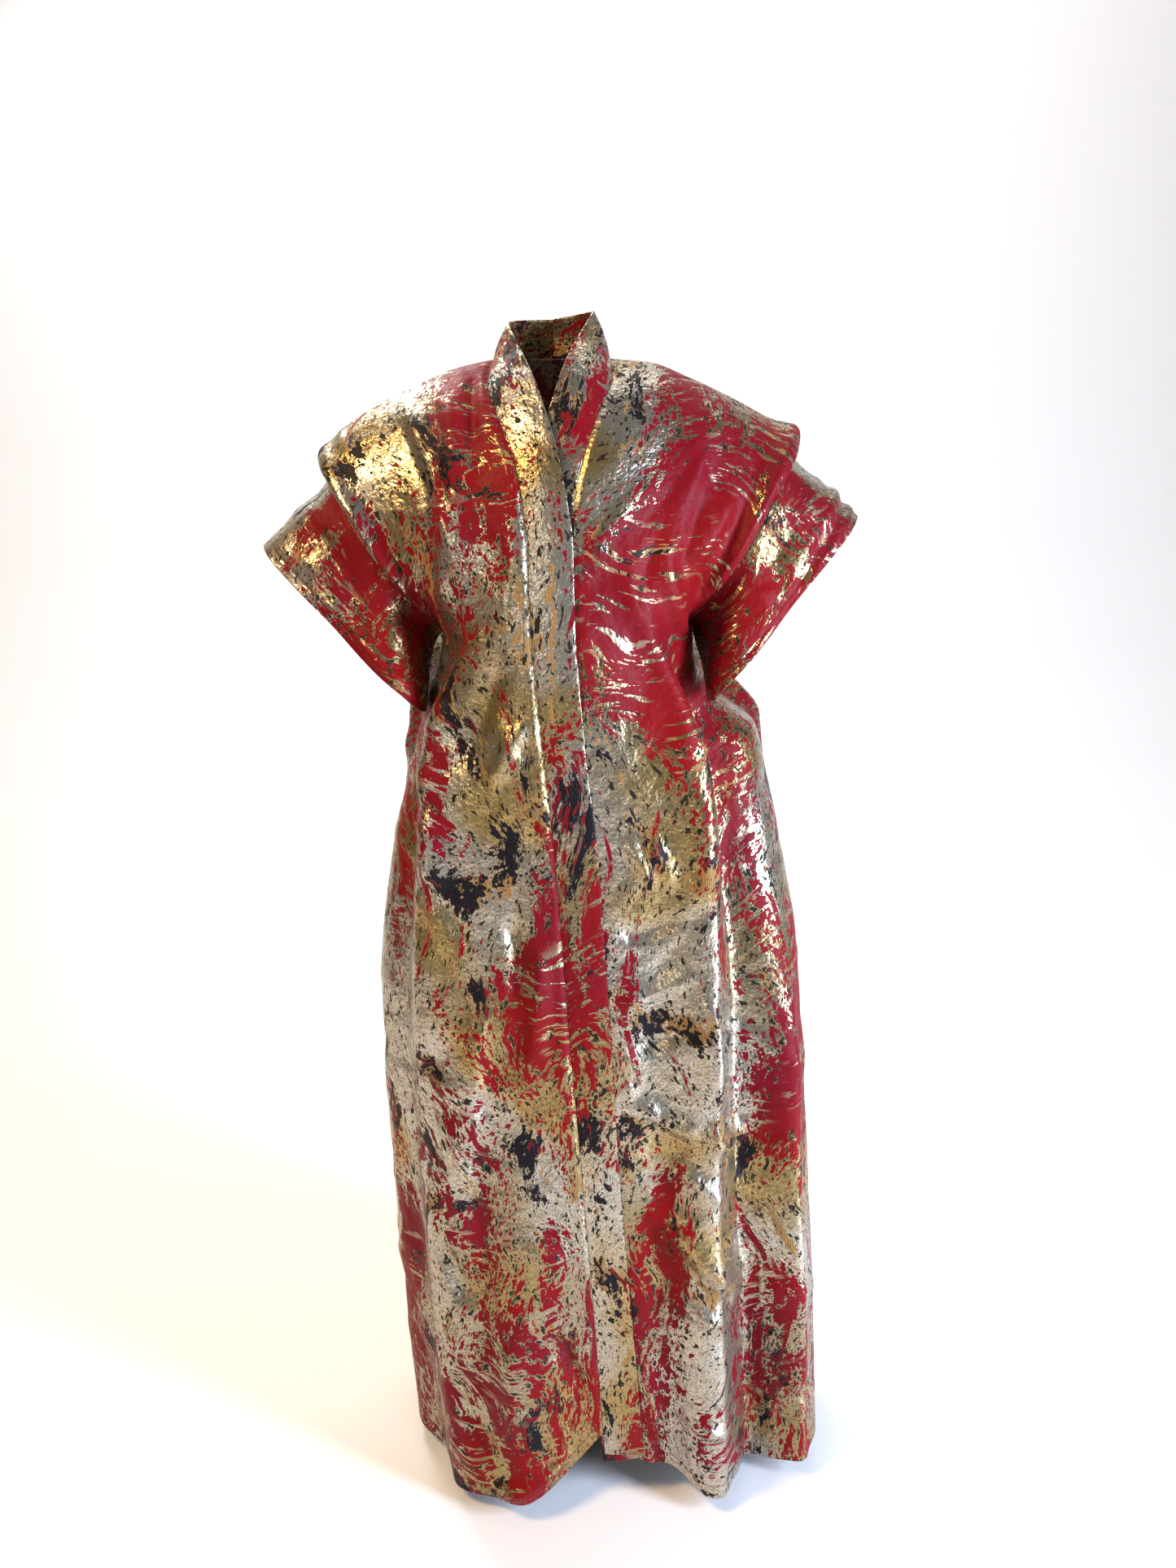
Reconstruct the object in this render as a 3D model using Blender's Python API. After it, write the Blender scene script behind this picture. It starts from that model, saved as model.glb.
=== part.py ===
"""Grand boubou robe in its worn shape, in metres, Z up, Y away from the front.

The robe is open all the way down the front, where the right edge laps over the left one.
It has a back, two fronts, two short square sleeves set low on the arm and a doubled band
on each side, from the centre back of the neck to the hem. Right and left are the
wearer's: the right front is at -X. Each piece is a wall of cloth, hollow as it is worn.
The origin is at the middle of the base of the neck, where the shoulders carry the robe.
"""

import bpy
import bmesh
import numpy as np

# Cloth
WALL = 0.0018
BAND_WALL = 0.0024
SEAM_GAP = 0.0003
LAP_DEPTH = 0.0040
BAND_CROWN = 0.0012

# Levels
UNDERARM_Z = -0.315

# Mesh density
CAP_ROWS = 12
FALL_ROWS = 16
FALL_SPREAD = 1.12
FRONT_COLUMNS = 20
NECK_COLUMNS = 4
SLEEVE_RINGS = 8
BAND_COLUMNS = 2
FINE = 80

# The shoulder seam from the neck to the low seam of the sleeve, where it rolls over.
SHOULDER_COLUMNS = ("part", "right_x", "right_z", "left_x", "left_z")
SHOULDER = (
    (0.00, 0.071, 0.010, 0.069, 0.006),
    (0.20, 0.118, 0.001, 0.118, 0.000),
    (0.38, 0.160, -0.014, 0.162, -0.018),
    (0.60, 0.212, -0.037, 0.214, -0.043),
    (0.78, 0.251, -0.058, 0.257, -0.067),
    (0.88, 0.271, -0.074, 0.279, -0.077),
    (0.94, 0.279, -0.092, 0.288, -0.088),
    (1.00, 0.274, -0.118, 0.281, -0.110),
)

# The seam that joins a sleeve to the front and the back, from the shoulder to the underarm.
ARMHOLE_COLUMNS = ("part", "right_x", "left_x", "z_drop", "front_y", "back_y")
ARMHOLE = (
    (0.00, 0.274, 0.281, 0.00, 0.000, 0.000),
    (0.20, 0.264, 0.272, 0.10, -0.050, 0.046),
    (0.45, 0.240, 0.248, 0.33, -0.086, 0.080),
    (0.70, 0.202, 0.210, 0.63, -0.094, 0.084),
    (0.88, 0.166, 0.172, 0.88, -0.060, 0.052),
    (1.00, 0.150, 0.152, 1.00, 0.000, 0.006),
)

# Side seams and the depth of the back, from the underarm to the hem.
SIDE_COLUMNS = ("z", "right_x", "right_y", "left_x", "left_y", "back_x", "back_y", "square", "back_square")
SIDE = (
    (-0.315, 0.150, 0.000, 0.152, 0.006, 0.000, 0.134, 2.0, 2.6),
    (-0.335, 0.156, 0.018, 0.158, 0.024, 0.000, 0.136, 2.0, 2.6),
    (-0.365, 0.172, 0.030, 0.172, 0.038, 0.000, 0.138, 2.0, 2.7),
    (-0.410, 0.186, 0.028, 0.200, 0.052, 0.000, 0.141, 2.1, 2.7),
    (-0.450, 0.193, 0.010, 0.246, 0.044, 0.000, 0.143, 2.2, 2.6),
    (-0.500, 0.209, 0.002, 0.258, 0.036, 0.000, 0.145, 2.3, 2.5),
    (-0.600, 0.236, 0.000, 0.276, 0.018, 0.002, 0.148, 2.3, 2.4),
    (-0.770, 0.262, 0.000, 0.295, -0.016, 0.006, 0.154, 2.4, 2.3),
    (-1.000, 0.266, 0.000, 0.302, -0.056, 0.012, 0.162, 2.5, 2.3),
    (-1.250, 0.261, -0.004, 0.307, -0.088, 0.018, 0.170, 2.7, 2.3),
    (-1.440, 0.254, -0.010, 0.310, -0.104, 0.020, 0.174, 2.8, 2.3),
)

# The front edge: seam of each band and the free edge of the one on top, by height.
FRONT_COLUMNS_OF_EDGE = ("z", "right_seam_x", "right_edge_x", "y")
FRONT_EDGE = (
    (-0.205, -0.034, 0.017, -0.163),
    (-0.290, -0.035, 0.016, -0.171),
    (-0.415, -0.028, 0.021, -0.174),
    (-0.590, -0.017, 0.034, -0.175),
    (-0.800, -0.009, 0.041, -0.180),
    (-0.970, -0.001, 0.046, -0.186),
    (-1.155, 0.007, 0.055, -0.191),
    (-1.300, 0.012, 0.063, -0.193),
    (-1.440, 0.018, 0.069, -0.194),
)
UNDER_LAP = 0.007

# The bands round the neck, from the centre back to where they run straight down. The row
# of the shoulder seam is the third one.
SHOULDER_ROW = 2
NECK_COLUMNS_OF_BAND = ("seam_x", "seam_y", "seam_z", "edge_x", "edge_y", "edge_z")
RIGHT_NECK = (
    (0.000, 0.060, 0.014, 0.000, 0.052, 0.060),
    (-0.044, 0.044, 0.014, -0.034, 0.036, 0.058),
    (-0.071, 0.000, 0.010, -0.052, -0.004, 0.050),
    (-0.077, -0.060, -0.022, -0.036, -0.052, 0.014),
    (-0.061, -0.112, -0.072, -0.018, -0.100, -0.030),
    (-0.042, -0.147, -0.134, 0.004, -0.143, -0.108),
    (-0.034, -0.163, -0.205, 0.017, -0.162, -0.195),
)
LEFT_NECK = (
    (0.000, 0.060, 0.014, 0.000, 0.052, 0.060),
    (0.043, 0.044, 0.013, 0.035, 0.036, 0.063),
    (0.069, 0.000, 0.006, 0.051, -0.006, 0.060),
    (0.070, -0.060, -0.020, 0.031, -0.038, 0.028),
    (0.053, -0.101, -0.058, 0.014, -0.081, -0.006),
    (0.030, -0.137, -0.118, -0.012, -0.120, -0.080),
    (0.010, -0.159, -0.205, -0.037, -0.157, -0.190),
)

# Hem heights along each piece, from the front band to the side seam, and of the back.
HEM_COLUMNS = ("part", "right_z", "left_z", "back_z")
HEM = (
    (0.00, -1.352, -1.398, -1.440),
    (0.12, -1.398, -1.410, -1.440),
    (0.28, -1.432, -1.428, -1.438),
    (0.50, -1.436, -1.438, -1.434),
    (0.75, -1.432, -1.428, -1.430),
    (1.00, -1.428, -1.414, -1.428),
)

# Largest folds. A ridge has a positive height and a trough a negative one. Places run
# from the band (0) to the side seam (1), and on the back from its middle to a side.
FOLD_COLUMNS = ("z_top", "z_low", "at_top", "at_low", "near", "far", "height", "fade_top", "fade_low")
RIGHT_FOLDS = (
    (-0.03, -0.30, 0.40, 0.34, 0.10, 0.05, 0.007, 0.05, 0.10),
    (-0.34, -1.60, 0.52, 0.50, 0.16, 0.06, 0.017, 0.16, 0.10),
    (-0.40, -1.60, 0.70, 0.68, 0.09, 0.12, -0.020, 0.18, 0.10),
    (-0.75, -1.60, 0.36, 0.38, 0.06, 0.05, -0.008, 0.25, 0.10),
    (-0.85, -1.60, 0.20, 0.30, 0.12, 0.16, 0.030, 0.60, 0.10),
)
LEFT_FOLDS = (
    (-0.04, -0.30, 0.52, 0.46, 0.08, 0.06, 0.006, 0.06, 0.10),
    (-0.30, -1.60, 0.40, 0.36, 0.12, 0.045, 0.020, 0.14, 0.10),
    (-0.33, -1.60, 0.54, 0.53, 0.07, 0.13, -0.038, 0.12, 0.10),
    (-0.70, -1.60, 0.74, 0.76, 0.06, 0.05, 0.014, 0.20, 0.10),
    (-0.60, -1.60, 0.20, 0.14, 0.07, 0.07, -0.007, 0.30, 0.10),
    (-0.95, -1.60, 0.26, 0.30, 0.10, 0.10, 0.022, 0.50, 0.10),
)
BACK_FOLDS = (
    (-0.12, -1.60, -0.06, 0.00, 0.10, 0.10, -0.010, 0.20, 0.10),
    (-0.30, -1.60, -0.34, -0.38, 0.10, 0.08, 0.018, 0.30, 0.10),
    (-0.34, -1.60, -0.56, -0.60, 0.09, 0.10, -0.024, 0.25, 0.10),
    (-0.45, -1.60, -0.80, -0.80, 0.08, 0.08, 0.014, 0.30, 0.10),
    (-0.28, -1.60, 0.26, 0.30, 0.09, 0.10, 0.020, 0.30, 0.10),
    (-0.36, -1.60, 0.47, 0.50, 0.08, 0.09, -0.026, 0.25, 0.10),
    (-0.45, -1.60, 0.70, 0.68, 0.10, 0.08, 0.018, 0.30, 0.10),
    (-0.24, -0.58, -0.80, -0.82, 0.12, 0.10, 0.034, 0.10, 0.20),
    (-0.24, -0.60, 0.80, 0.82, 0.10, 0.12, 0.036, 0.10, 0.20),
)

# Shares of a row over which folds rise from nothing, at its first and its last seam.
BAND_HOLD = 0.10
SIDE_HOLD = 0.12
ROLL_HOLD = 0.06
SHOULDER_HOLD = 0.05

# Share of a line's drop from the shoulder that is straight; the rest is a quarter turn.
CAP_STRAIGHT = 0.25

# The cloth of the body bulges over the head of each sleeve.
ROLL_PLACE = 0.90
ROLL_WIDTH = 0.055
ROLL_HEIGHT = 0.013
ROLL_FADE = 0.08

# Cuffs: the upper and the lower end of each one, its depth and its bend to the front.
CUFF_COLUMNS = ("side", "top_x", "top_y", "top_z", "low_x", "low_y", "low_z", "front", "back")
CUFFS = (
    ("right", 0.366, -0.004, -0.198, 0.171, -0.062, -0.402, 0.066, 0.072),
    ("left", 0.368, -0.004, -0.188, 0.173, -0.068, -0.402, 0.064, 0.070),
)
SLEEVE_FOLD_COLUMNS = ("turn_head", "turn_cuff", "width", "height")
SLEEVE_FOLDS = (
    (0.12, 0.10, 0.050, 0.006),
    (0.27, 0.24, 0.055, -0.010),
    (0.40, 0.37, 0.050, 0.008),
    (0.62, 0.60, 0.060, 0.008),
    (0.75, 0.74, 0.055, -0.009),
    (0.88, 0.88, 0.050, 0.006),
)

# The low side of a sleeve swings out and forward from the underarm.
UNDERARM_OUT = 0.010
UNDERARM_FORWARD = 0.020
FORWARD_FROM = 0.1
SLEEVE_FOLDS_FULL = 0.5
SLEEVE_SHARE = 2

SIGN = {"right": -1.0, "left": 1.0}
BAND_HEMS = {"right": -1.384, "left": -1.392}

# Wall, colour, roughness and metallic value of each kind of piece.
FINISHES = {
    "back": (WALL, (0.42, 0.01, 0.02), 0.45, 0.35),
    "front": (WALL, (0.42, 0.01, 0.02), 0.45, 0.35),
    "sleeve": (WALL, (0.30, 0.008, 0.016), 0.45, 0.35),
    "band": (BAND_WALL, (0.34, 0.16, 0.08), 0.40, 0.50),
}


def read(rows, columns, key, column, at):
    """Smooth, never overshooting reading of one column of a table along another one."""
    order = sorted(rows, key=lambda row: row[columns.index(key)])
    places = np.array([row[columns.index(key)] for row in order], dtype=float)
    values = np.array([row[columns.index(column)] for row in order], dtype=float)
    steps = np.diff(places)
    slopes = np.diff(values) / steps
    tangents = np.zeros(len(places))
    tangents[0] = slopes[0]
    tangents[-1] = slopes[-1]
    for i in range(1, len(places) - 1):
        if slopes[i - 1] * slopes[i] > 0.0:
            before = 2.0 * steps[i] + steps[i - 1]
            after = steps[i] + 2.0 * steps[i - 1]
            tangents[i] = (before + after) / (before / slopes[i - 1] + after / slopes[i])
    spot = np.clip(np.asarray(at, dtype=float), places[0], places[-1])
    i = np.clip(np.searchsorted(places, spot) - 1, 0, len(steps) - 1)
    t = (spot - places[i]) / steps[i]
    start = (1.0 + 2.0 * t) * (1.0 - t) ** 2 * values[i] + t * (1.0 - t) ** 2 * steps[i] * tangents[i]
    end = t * t * (3.0 - 2.0 * t) * values[i + 1] + t * t * (t - 1.0) * steps[i] * tangents[i + 1]
    return start + end


def smooth_step(low, high, value):
    """Rise from 0 at low to 1 at high, level at both ends."""
    t = np.clip((value - low) / (high - low), 0.0, 1.0)
    return t * t * (3.0 - 2.0 * t)


def unit(vectors):
    """Vectors of length one."""
    length = np.linalg.norm(vectors, axis=-1, keepdims=True)
    return vectors / np.maximum(length, 1e-12)


def even_out(points, places):
    """Read a line of points at shares of its own length."""
    lengths = np.linalg.norm(np.diff(points, axis=0), axis=1)
    along = np.concatenate(([0.0], np.cumsum(lengths))) / lengths.sum()
    return np.stack([np.interp(places, along, points[:, axis]) for axis in range(3)], axis=1)


def neck_route(rows, at, part):
    """Points of a band's seam or free edge round the neck, at row numbers."""
    numbers = range(len(rows))
    columns = ("row",) + NECK_COLUMNS_OF_BAND
    numbered = [(float(number),) + tuple(row) for number, row in zip(numbers, rows)]
    return np.stack([read(numbered, columns, "row", part + axis, at) for axis in ("_x", "_y", "_z")], axis=-1)


def front_seam(side, z):
    """Points of the seam between a front and its band, at heights below the neck."""
    z = np.asarray(z, dtype=float)
    rows = RIGHT_NECK if side == "right" else LEFT_NECK
    numbers = np.linspace(SHOULDER_ROW, len(rows) - 1, FINE)
    neck = neck_route(rows, numbers, "seam")[::-1]
    x = np.interp(z, neck[:, 2], neck[:, 0])
    y = np.interp(z, neck[:, 2], neck[:, 1])
    straight = z < FRONT_EDGE[0][0]
    x = np.where(straight, straight_x(side, "seam", z), x)
    y = np.where(straight, straight_y(side, z), y)
    return np.stack([x, y, z], axis=-1)


def straight_x(side, part, z):
    """Where a band's seam or free edge runs, below the neck."""
    seam = read(FRONT_EDGE, FRONT_COLUMNS_OF_EDGE, "z", "right_seam_x", z)
    edge = read(FRONT_EDGE, FRONT_COLUMNS_OF_EDGE, "z", "right_edge_x", z)
    if side == "right":
        return seam if part == "seam" else edge
    return edge - UNDER_LAP if part == "seam" else seam - 0.5 * UNDER_LAP


def straight_y(side, z):
    """Depth of the front edge below the neck. The left side lies under the right one."""
    y = read(FRONT_EDGE, FRONT_COLUMNS_OF_EDGE, "z", "y", z)
    return y if side == "right" else y + LAP_DEPTH


def side_point(side, z):
    """Points of a side seam at heights below the underarm."""
    x = SIGN[side] * read(SIDE, SIDE_COLUMNS, "z", side + "_x", z)
    y = read(SIDE, SIDE_COLUMNS, "z", side + "_y", z)
    return x, y


def quarter_row(start, end, square, places):
    """A quarter of a rounded oval in plan, level along X at its start and Y at its end."""
    turn = np.linspace(0.0, 0.5 * np.pi, FINE)
    power = 2.0 / square
    x = start[0] + (end[0] - start[0]) * np.sin(turn) ** power
    y = end[1] + (start[1] - end[1]) * np.cos(turn) ** power
    return even_out(np.stack([x, y, np.zeros(FINE)], axis=1), places)


def shoulder_line(side, places):
    """Points of the shoulder seam at shares of its length."""
    part = np.linspace(0.0, 1.0, FINE)
    x = SIGN[side] * read(SHOULDER, SHOULDER_COLUMNS, "part", side + "_x", part)
    z = read(SHOULDER, SHOULDER_COLUMNS, "part", side + "_z", part)
    return even_out(np.stack([x, np.zeros(FINE), z], axis=1), places)


def armhole_edge(side, half, parts):
    """Points of the armhole seam on the front or the back half, top to underarm."""
    x = SIGN[side] * read(ARMHOLE, ARMHOLE_COLUMNS, "part", side + "_x", parts)
    drop = read(ARMHOLE, ARMHOLE_COLUMNS, "part", "z_drop", parts)
    top = SHOULDER[-1][SHOULDER_COLUMNS.index(side + "_z")]
    y = read(ARMHOLE, ARMHOLE_COLUMNS, "part", half + "_y", parts)
    return np.stack([x, y, top + (UNDERARM_Z - top) * drop], axis=-1)


def cap_paths(tops, ends, parts):
    """Lines of cloth that leave the shoulder level and end upright on the body."""
    turn = 0.5 * np.pi * parts[:, None]
    depth = np.sin(turn)
    drop = CAP_STRAIGHT * parts[:, None] + (1.0 - CAP_STRAIGHT) * (1.0 - np.cos(turn))
    across = smooth_step(0.0, 1.0, parts)[:, None]
    x = tops[:, 0] + (ends[:, 0] - tops[:, 0]) * across
    y = tops[:, 1] + (ends[:, 1] - tops[:, 1]) * depth
    z = tops[:, 2] + (ends[:, 2] - tops[:, 2]) * drop
    return np.stack([x, y, z], axis=-1)


def front_base(side, places, cap_parts, fall_parts):
    """A front without folds: rows from the shoulder seam to the hem, band to side."""
    side_x, side_y = side_point(side, UNDERARM_Z)
    seam = front_seam(side, UNDERARM_Z)
    square = SIDE[0][SIDE_COLUMNS.index("square")]
    ends = quarter_row((seam[0], seam[1]), (side_x, side_y), square, places)
    ends[:, 2] = UNDERARM_Z
    cap = cap_paths(shoulder_line(side, places), ends, cap_parts)
    band_side = (1.0 - places) ** 2
    route = front_seam(side, cap[:, 0, 2])
    cap += (route - cap[:, 0])[:, None, :] * band_side[None, :, None]
    arm_side = places ** 2
    hole = armhole_edge(side, "front", cap_parts)
    cap += (hole - cap[:, -1])[:, None, :] * arm_side[None, :, None]
    hem = read(HEM, HEM_COLUMNS, "part", side + "_z", places)
    rows = [fall_row(side, UNDERARM_Z + (hem - UNDERARM_Z) * part, places) for part in fall_parts[1:]]
    return np.concatenate([cap, np.array(rows)])


def fall_row(side, heights, places):
    """One row of a front below the underarm. Its height may change along it."""
    row = np.zeros((len(places), 3))
    for i, (z, place) in enumerate(zip(heights, places)):
        side_x, side_y = side_point(side, z)
        seam = front_seam(side, z)
        square = float(read(SIDE, SIDE_COLUMNS, "z", "square", z))
        row[i] = quarter_row((seam[0], seam[1]), (side_x, side_y), square, np.array([place]))[0]
        row[i, 2] = z
    return row


def back_base(places, cap_parts, fall_parts):
    """The back without folds: from the right side (-1) over the middle (0) to the left (1)."""
    own = places[places >= 0.0]
    right = back_half("right", own, cap_parts, fall_parts)
    left = back_half("left", own, cap_parts, fall_parts)
    return np.concatenate([right[:, ::-1], left[:, 1:]], axis=1)


def neck_share():
    """Share of half of the back's top edge that the neck takes."""
    return NECK_COLUMNS / (NECK_COLUMNS + FRONT_COLUMNS)


def back_top(side, places):
    """The back's top edge: round the neck, then along the shoulder seam."""
    share = neck_share()
    rows = RIGHT_NECK if side == "right" else LEFT_NECK
    neck = neck_route(rows, np.clip(SHOULDER_ROW * places / share, 0.0, SHOULDER_ROW), "seam")
    seam = shoulder_line(side, np.clip((places - share) / (1.0 - share), 0.0, 1.0))
    return np.where((places <= share)[:, None], neck, seam)


def back_half(side, places, cap_parts, fall_parts):
    """Half of the back, from its middle to the side seam."""
    middle_x, middle_y = back_middle(UNDERARM_Z)
    side_x, side_y = side_point(side, UNDERARM_Z)
    square = SIDE[0][SIDE_COLUMNS.index("back_square")]
    ends = quarter_row((middle_x, middle_y), (side_x, side_y), square, places)
    ends[:, 2] = UNDERARM_Z
    cap = cap_paths(back_top(side, places), ends, cap_parts)
    hole = armhole_edge(side, "back", cap_parts)
    cap += (hole - cap[:, -1])[:, None, :] * (places ** 2)[None, :, None]
    side_hem = HEM[-1][HEM_COLUMNS.index(side + "_z")]
    hem = read(HEM, HEM_COLUMNS, "part", "back_z", places)
    hem = hem + (side_hem - HEM[-1][HEM_COLUMNS.index("back_z")]) * places ** 2
    rows = []
    for part in fall_parts[1:]:
        row = np.zeros((len(places), 3))
        for i, (z, place) in enumerate(zip(UNDERARM_Z + (hem - UNDERARM_Z) * part, places)):
            start = back_middle(z)
            end = side_point(side, z)
            square = float(read(SIDE, SIDE_COLUMNS, "z", "back_square", z))
            row[i] = quarter_row(start, end, square, np.array([place]))[0]
            row[i, 2] = z
        rows.append(row)
    return np.concatenate([cap, np.array(rows)])


def back_middle(z):
    """The middle of the back at a height."""
    x = float(read(SIDE, SIDE_COLUMNS, "z", "back_x", z))
    y = float(read(SIDE, SIDE_COLUMNS, "z", "back_y", z))
    return x, y


def grid_normals(points, turned):
    """Normals of a grid of points. The turned ones point the other way."""
    along = np.gradient(points, axis=1)
    down = np.gradient(points, axis=0)
    normals = unit(np.cross(along, down))
    return -normals if turned else normals


def fold_heights(folds, points, places):
    """How far the folds stand out at each point of a grid."""
    height = np.zeros(points.shape[:2])
    z = points[:, :, 2]
    for row in folds:
        fold = dict(zip(FOLD_COLUMNS, row))
        share = np.clip((fold["z_top"] - z) / (fold["z_top"] - fold["z_low"]), 0.0, 1.0)
        middle = fold["at_top"] + (fold["at_low"] - fold["at_top"]) * share
        away = places[None, :] - middle
        width = np.where(away < 0.0, fold["near"], fold["far"])
        start = smooth_step(0.0, fold["fade_top"], fold["z_top"] - z)
        end = smooth_step(0.0, fold["fade_low"], z - fold["z_low"])
        height += fold["height"] * np.exp(-((away / width) ** 2)) * start * end
    return height


def hold_edges(places, first, last):
    """Weights that bring folds to nothing at the ends of a row."""
    rise = smooth_step(0.0, first, places - places[0])
    fall = smooth_step(0.0, last, places[-1] - places)
    return rise * fall


def sleeve_roll(points, places):
    """The bulge of the body's cloth over the head of a sleeve."""
    z = points[:, :, 2]
    inside = smooth_step(UNDERARM_Z, UNDERARM_Z + ROLL_FADE, z)
    away = (np.abs(places) - ROLL_PLACE)[None, :] / ROLL_WIDTH
    return ROLL_HEIGHT * np.exp(-(away ** 2)) * inside


def front_panel(side, places, cap_parts, fall_parts):
    """A front with its folds, as a grid of points and their normals."""
    points = front_base(side, places, cap_parts, fall_parts)
    turned = side == "left"
    normals = grid_normals(points, turned)
    folds = RIGHT_FOLDS if side == "right" else LEFT_FOLDS
    height = fold_heights(folds, points, places) * hold_edges(places, BAND_HOLD, SIDE_HOLD)
    height += sleeve_roll(points, places) * hold_edges(places, BAND_HOLD, ROLL_HOLD)
    height *= smooth_step(0.0, SHOULDER_HOLD, np.concatenate([cap_parts, 1.0 + fall_parts[1:]]))[:, None]
    points = points + normals * height[:, :, None]
    return points, grid_normals(points, turned)


def back_panel(places, cap_parts, fall_parts):
    """The back with its folds, as a grid of points and their normals."""
    points = back_base(places, cap_parts, fall_parts)
    normals = grid_normals(points, False)
    height = fold_heights(BACK_FOLDS, points, places) * hold_edges(places, SIDE_HOLD, SIDE_HOLD)
    height += sleeve_roll(points, places) * hold_edges(places, ROLL_HOLD, ROLL_HOLD)
    height *= smooth_step(0.0, SHOULDER_HOLD, np.concatenate([cap_parts, 1.0 + fall_parts[1:]]))[:, None]
    points = points + normals * height[:, :, None]
    return points, grid_normals(points, False)


def sleeve_grid(side, head, ring_parts):
    """A sleeve from its seam to its cuff. The head runs over the front to the underarm."""
    row = next(row for row in CUFFS if row[0] == side)
    cuff = dict(zip(CUFF_COLUMNS, row))
    top = np.array([SIGN[side] * cuff["top_x"], cuff["top_y"], cuff["top_z"]])
    low = np.array([SIGN[side] * cuff["low_x"], cuff["low_y"], cuff["low_z"]])
    turn = np.arange(len(head)) / len(head)
    angle = 2.0 * np.pi * turn
    depth = np.where(turn <= 0.5, -cuff["front"], -cuff["back"]) * np.sin(angle)
    ring = 0.5 * (top + low) + 0.5 * (top - low) * np.cos(angle)[:, None]
    ring[:, 1] += depth
    share = ring_parts[:, None, None]
    grid = head[None] * (1.0 - share) + ring[None] * share
    low_side = 0.5 * (1.0 - np.cos(angle))
    early = np.sin(np.pi * ring_parts ** 0.5)[:, None] * low_side[None, :] ** 2
    late = smooth_step(FORWARD_FROM, 1.0, ring_parts)[:, None] * low_side[None, :] ** 2
    grid[:, :, 0] += SIGN[side] * UNDERARM_OUT * early
    grid[:, :, 1] -= UNDERARM_FORWARD * late
    normals = tube_normals(grid)
    height = np.zeros(grid.shape[:2])
    for fold_row in SLEEVE_FOLDS:
        fold = dict(zip(SLEEVE_FOLD_COLUMNS, fold_row))
        middle = fold["turn_head"] + (fold["turn_cuff"] - fold["turn_head"]) * ring_parts[:, None]
        away = (turn[None, :] - middle) / fold["width"]
        full = smooth_step(0.0, SLEEVE_FOLDS_FULL, ring_parts)[:, None]
        height += fold["height"] * np.exp(-(away ** 2)) * full
    grid = grid + normals * height[:, :, None]
    return grid, tube_normals(grid)


def tube_normals(grid):
    """Normals of a closed tube of rings, pointing out."""
    around = np.roll(grid, -1, axis=1) - np.roll(grid, 1, axis=1)
    down = np.gradient(grid, axis=0)
    normals = unit(np.cross(around, down))
    middle = grid.mean(axis=1, keepdims=True)
    outward = np.sign(np.sum(normals * (grid - middle)))
    return normals * outward


def band_grid(side, seam, neck_numbers, across):
    """A band from the centre back of the neck to the hem, from its seam to its free edge."""
    rows = RIGHT_NECK if side == "right" else LEFT_NECK
    numbers = np.linspace(0.0, len(rows) - 1, FINE)
    route = neck_route(rows, numbers, "seam")
    front = seam[len(neck_numbers):, 2]
    front_numbers = np.interp(-front, -route[:, 2], numbers)
    edge = neck_route(rows, np.concatenate([neck_numbers, front_numbers]), "edge")
    low = seam[:, 2] < FRONT_EDGE[0][0]
    z = seam[:, 2]
    level = np.stack([straight_x(side, "edge", z), straight_y(side, z), z], axis=-1)
    edge = np.where(low[:, None], level, edge)
    grid = seam[:, None] * (1.0 - across[None, :, None]) + edge[:, None] * across[None, :, None]
    normals = grid_normals(grid, side == "right")
    crown = BAND_CROWN * 4.0 * across * (1.0 - across)
    return grid + normals * crown[None, :, None]


def share_normals(*edges):
    """One set of normals for the edges that meet in a seam."""
    both = unit(sum(edges))
    for edge in edges:
        edge[:] = both


def seam_pull(edge, within, normals, closed):
    """A small step from an edge into its own piece, square to the cloth and the edge."""
    if closed:
        along = np.roll(edge, -1, axis=0) - np.roll(edge, 1, axis=0)
    else:
        along = np.gradient(edge, axis=0)
    step = unit(np.cross(normals, along))
    if np.sum(step * (within - edge)) < 0.0:
        step = -step
    return step * 0.5 * SEAM_GAP


def draw_in(grid, normals, closed):
    """Draw the sewn edges of a piece in by half of a seam's gap."""
    pull = np.zeros(grid.shape)
    pull[0] += seam_pull(grid[0], grid[1], normals[0], closed)
    if not closed:
        pull[:, 0] += seam_pull(grid[:, 0], grid[:, 1], normals[:, 0], False)
        pull[:, -1] += seam_pull(grid[:, -1], grid[:, -2], normals[:, -1], False)
    return grid + pull


def add_object(name, vertices, faces, colour, roughness, metallic):
    """One closed piece with its own material."""
    shape = bmesh.new()
    made = [shape.verts.new(point) for point in vertices]
    for face in faces:
        shape.faces.new([made[index] for index in face])
    bmesh.ops.triangulate(shape, faces=shape.faces[:], quad_method="SHORT_EDGE")
    if shape.calc_volume(signed=True) < 0.0:
        bmesh.ops.reverse_faces(shape, faces=shape.faces[:])
    mesh = bpy.data.meshes.new(name)
    shape.to_mesh(mesh)
    shape.free()
    mesh.shade_smooth()
    piece = bpy.data.objects.new(name, mesh)
    bpy.context.scene.collection.objects.link(piece)
    material = bpy.data.materials.new(name + "_cloth")
    material.use_nodes = True
    surface = material.node_tree.nodes["Principled BSDF"]
    surface.inputs["Base Color"].default_value = (*colour, 1.0)
    surface.inputs["Roughness"].default_value = roughness
    surface.inputs["Metallic"].default_value = metallic
    material.diffuse_color = (*colour, 1.0)
    mesh.materials.append(material)
    return piece


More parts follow.
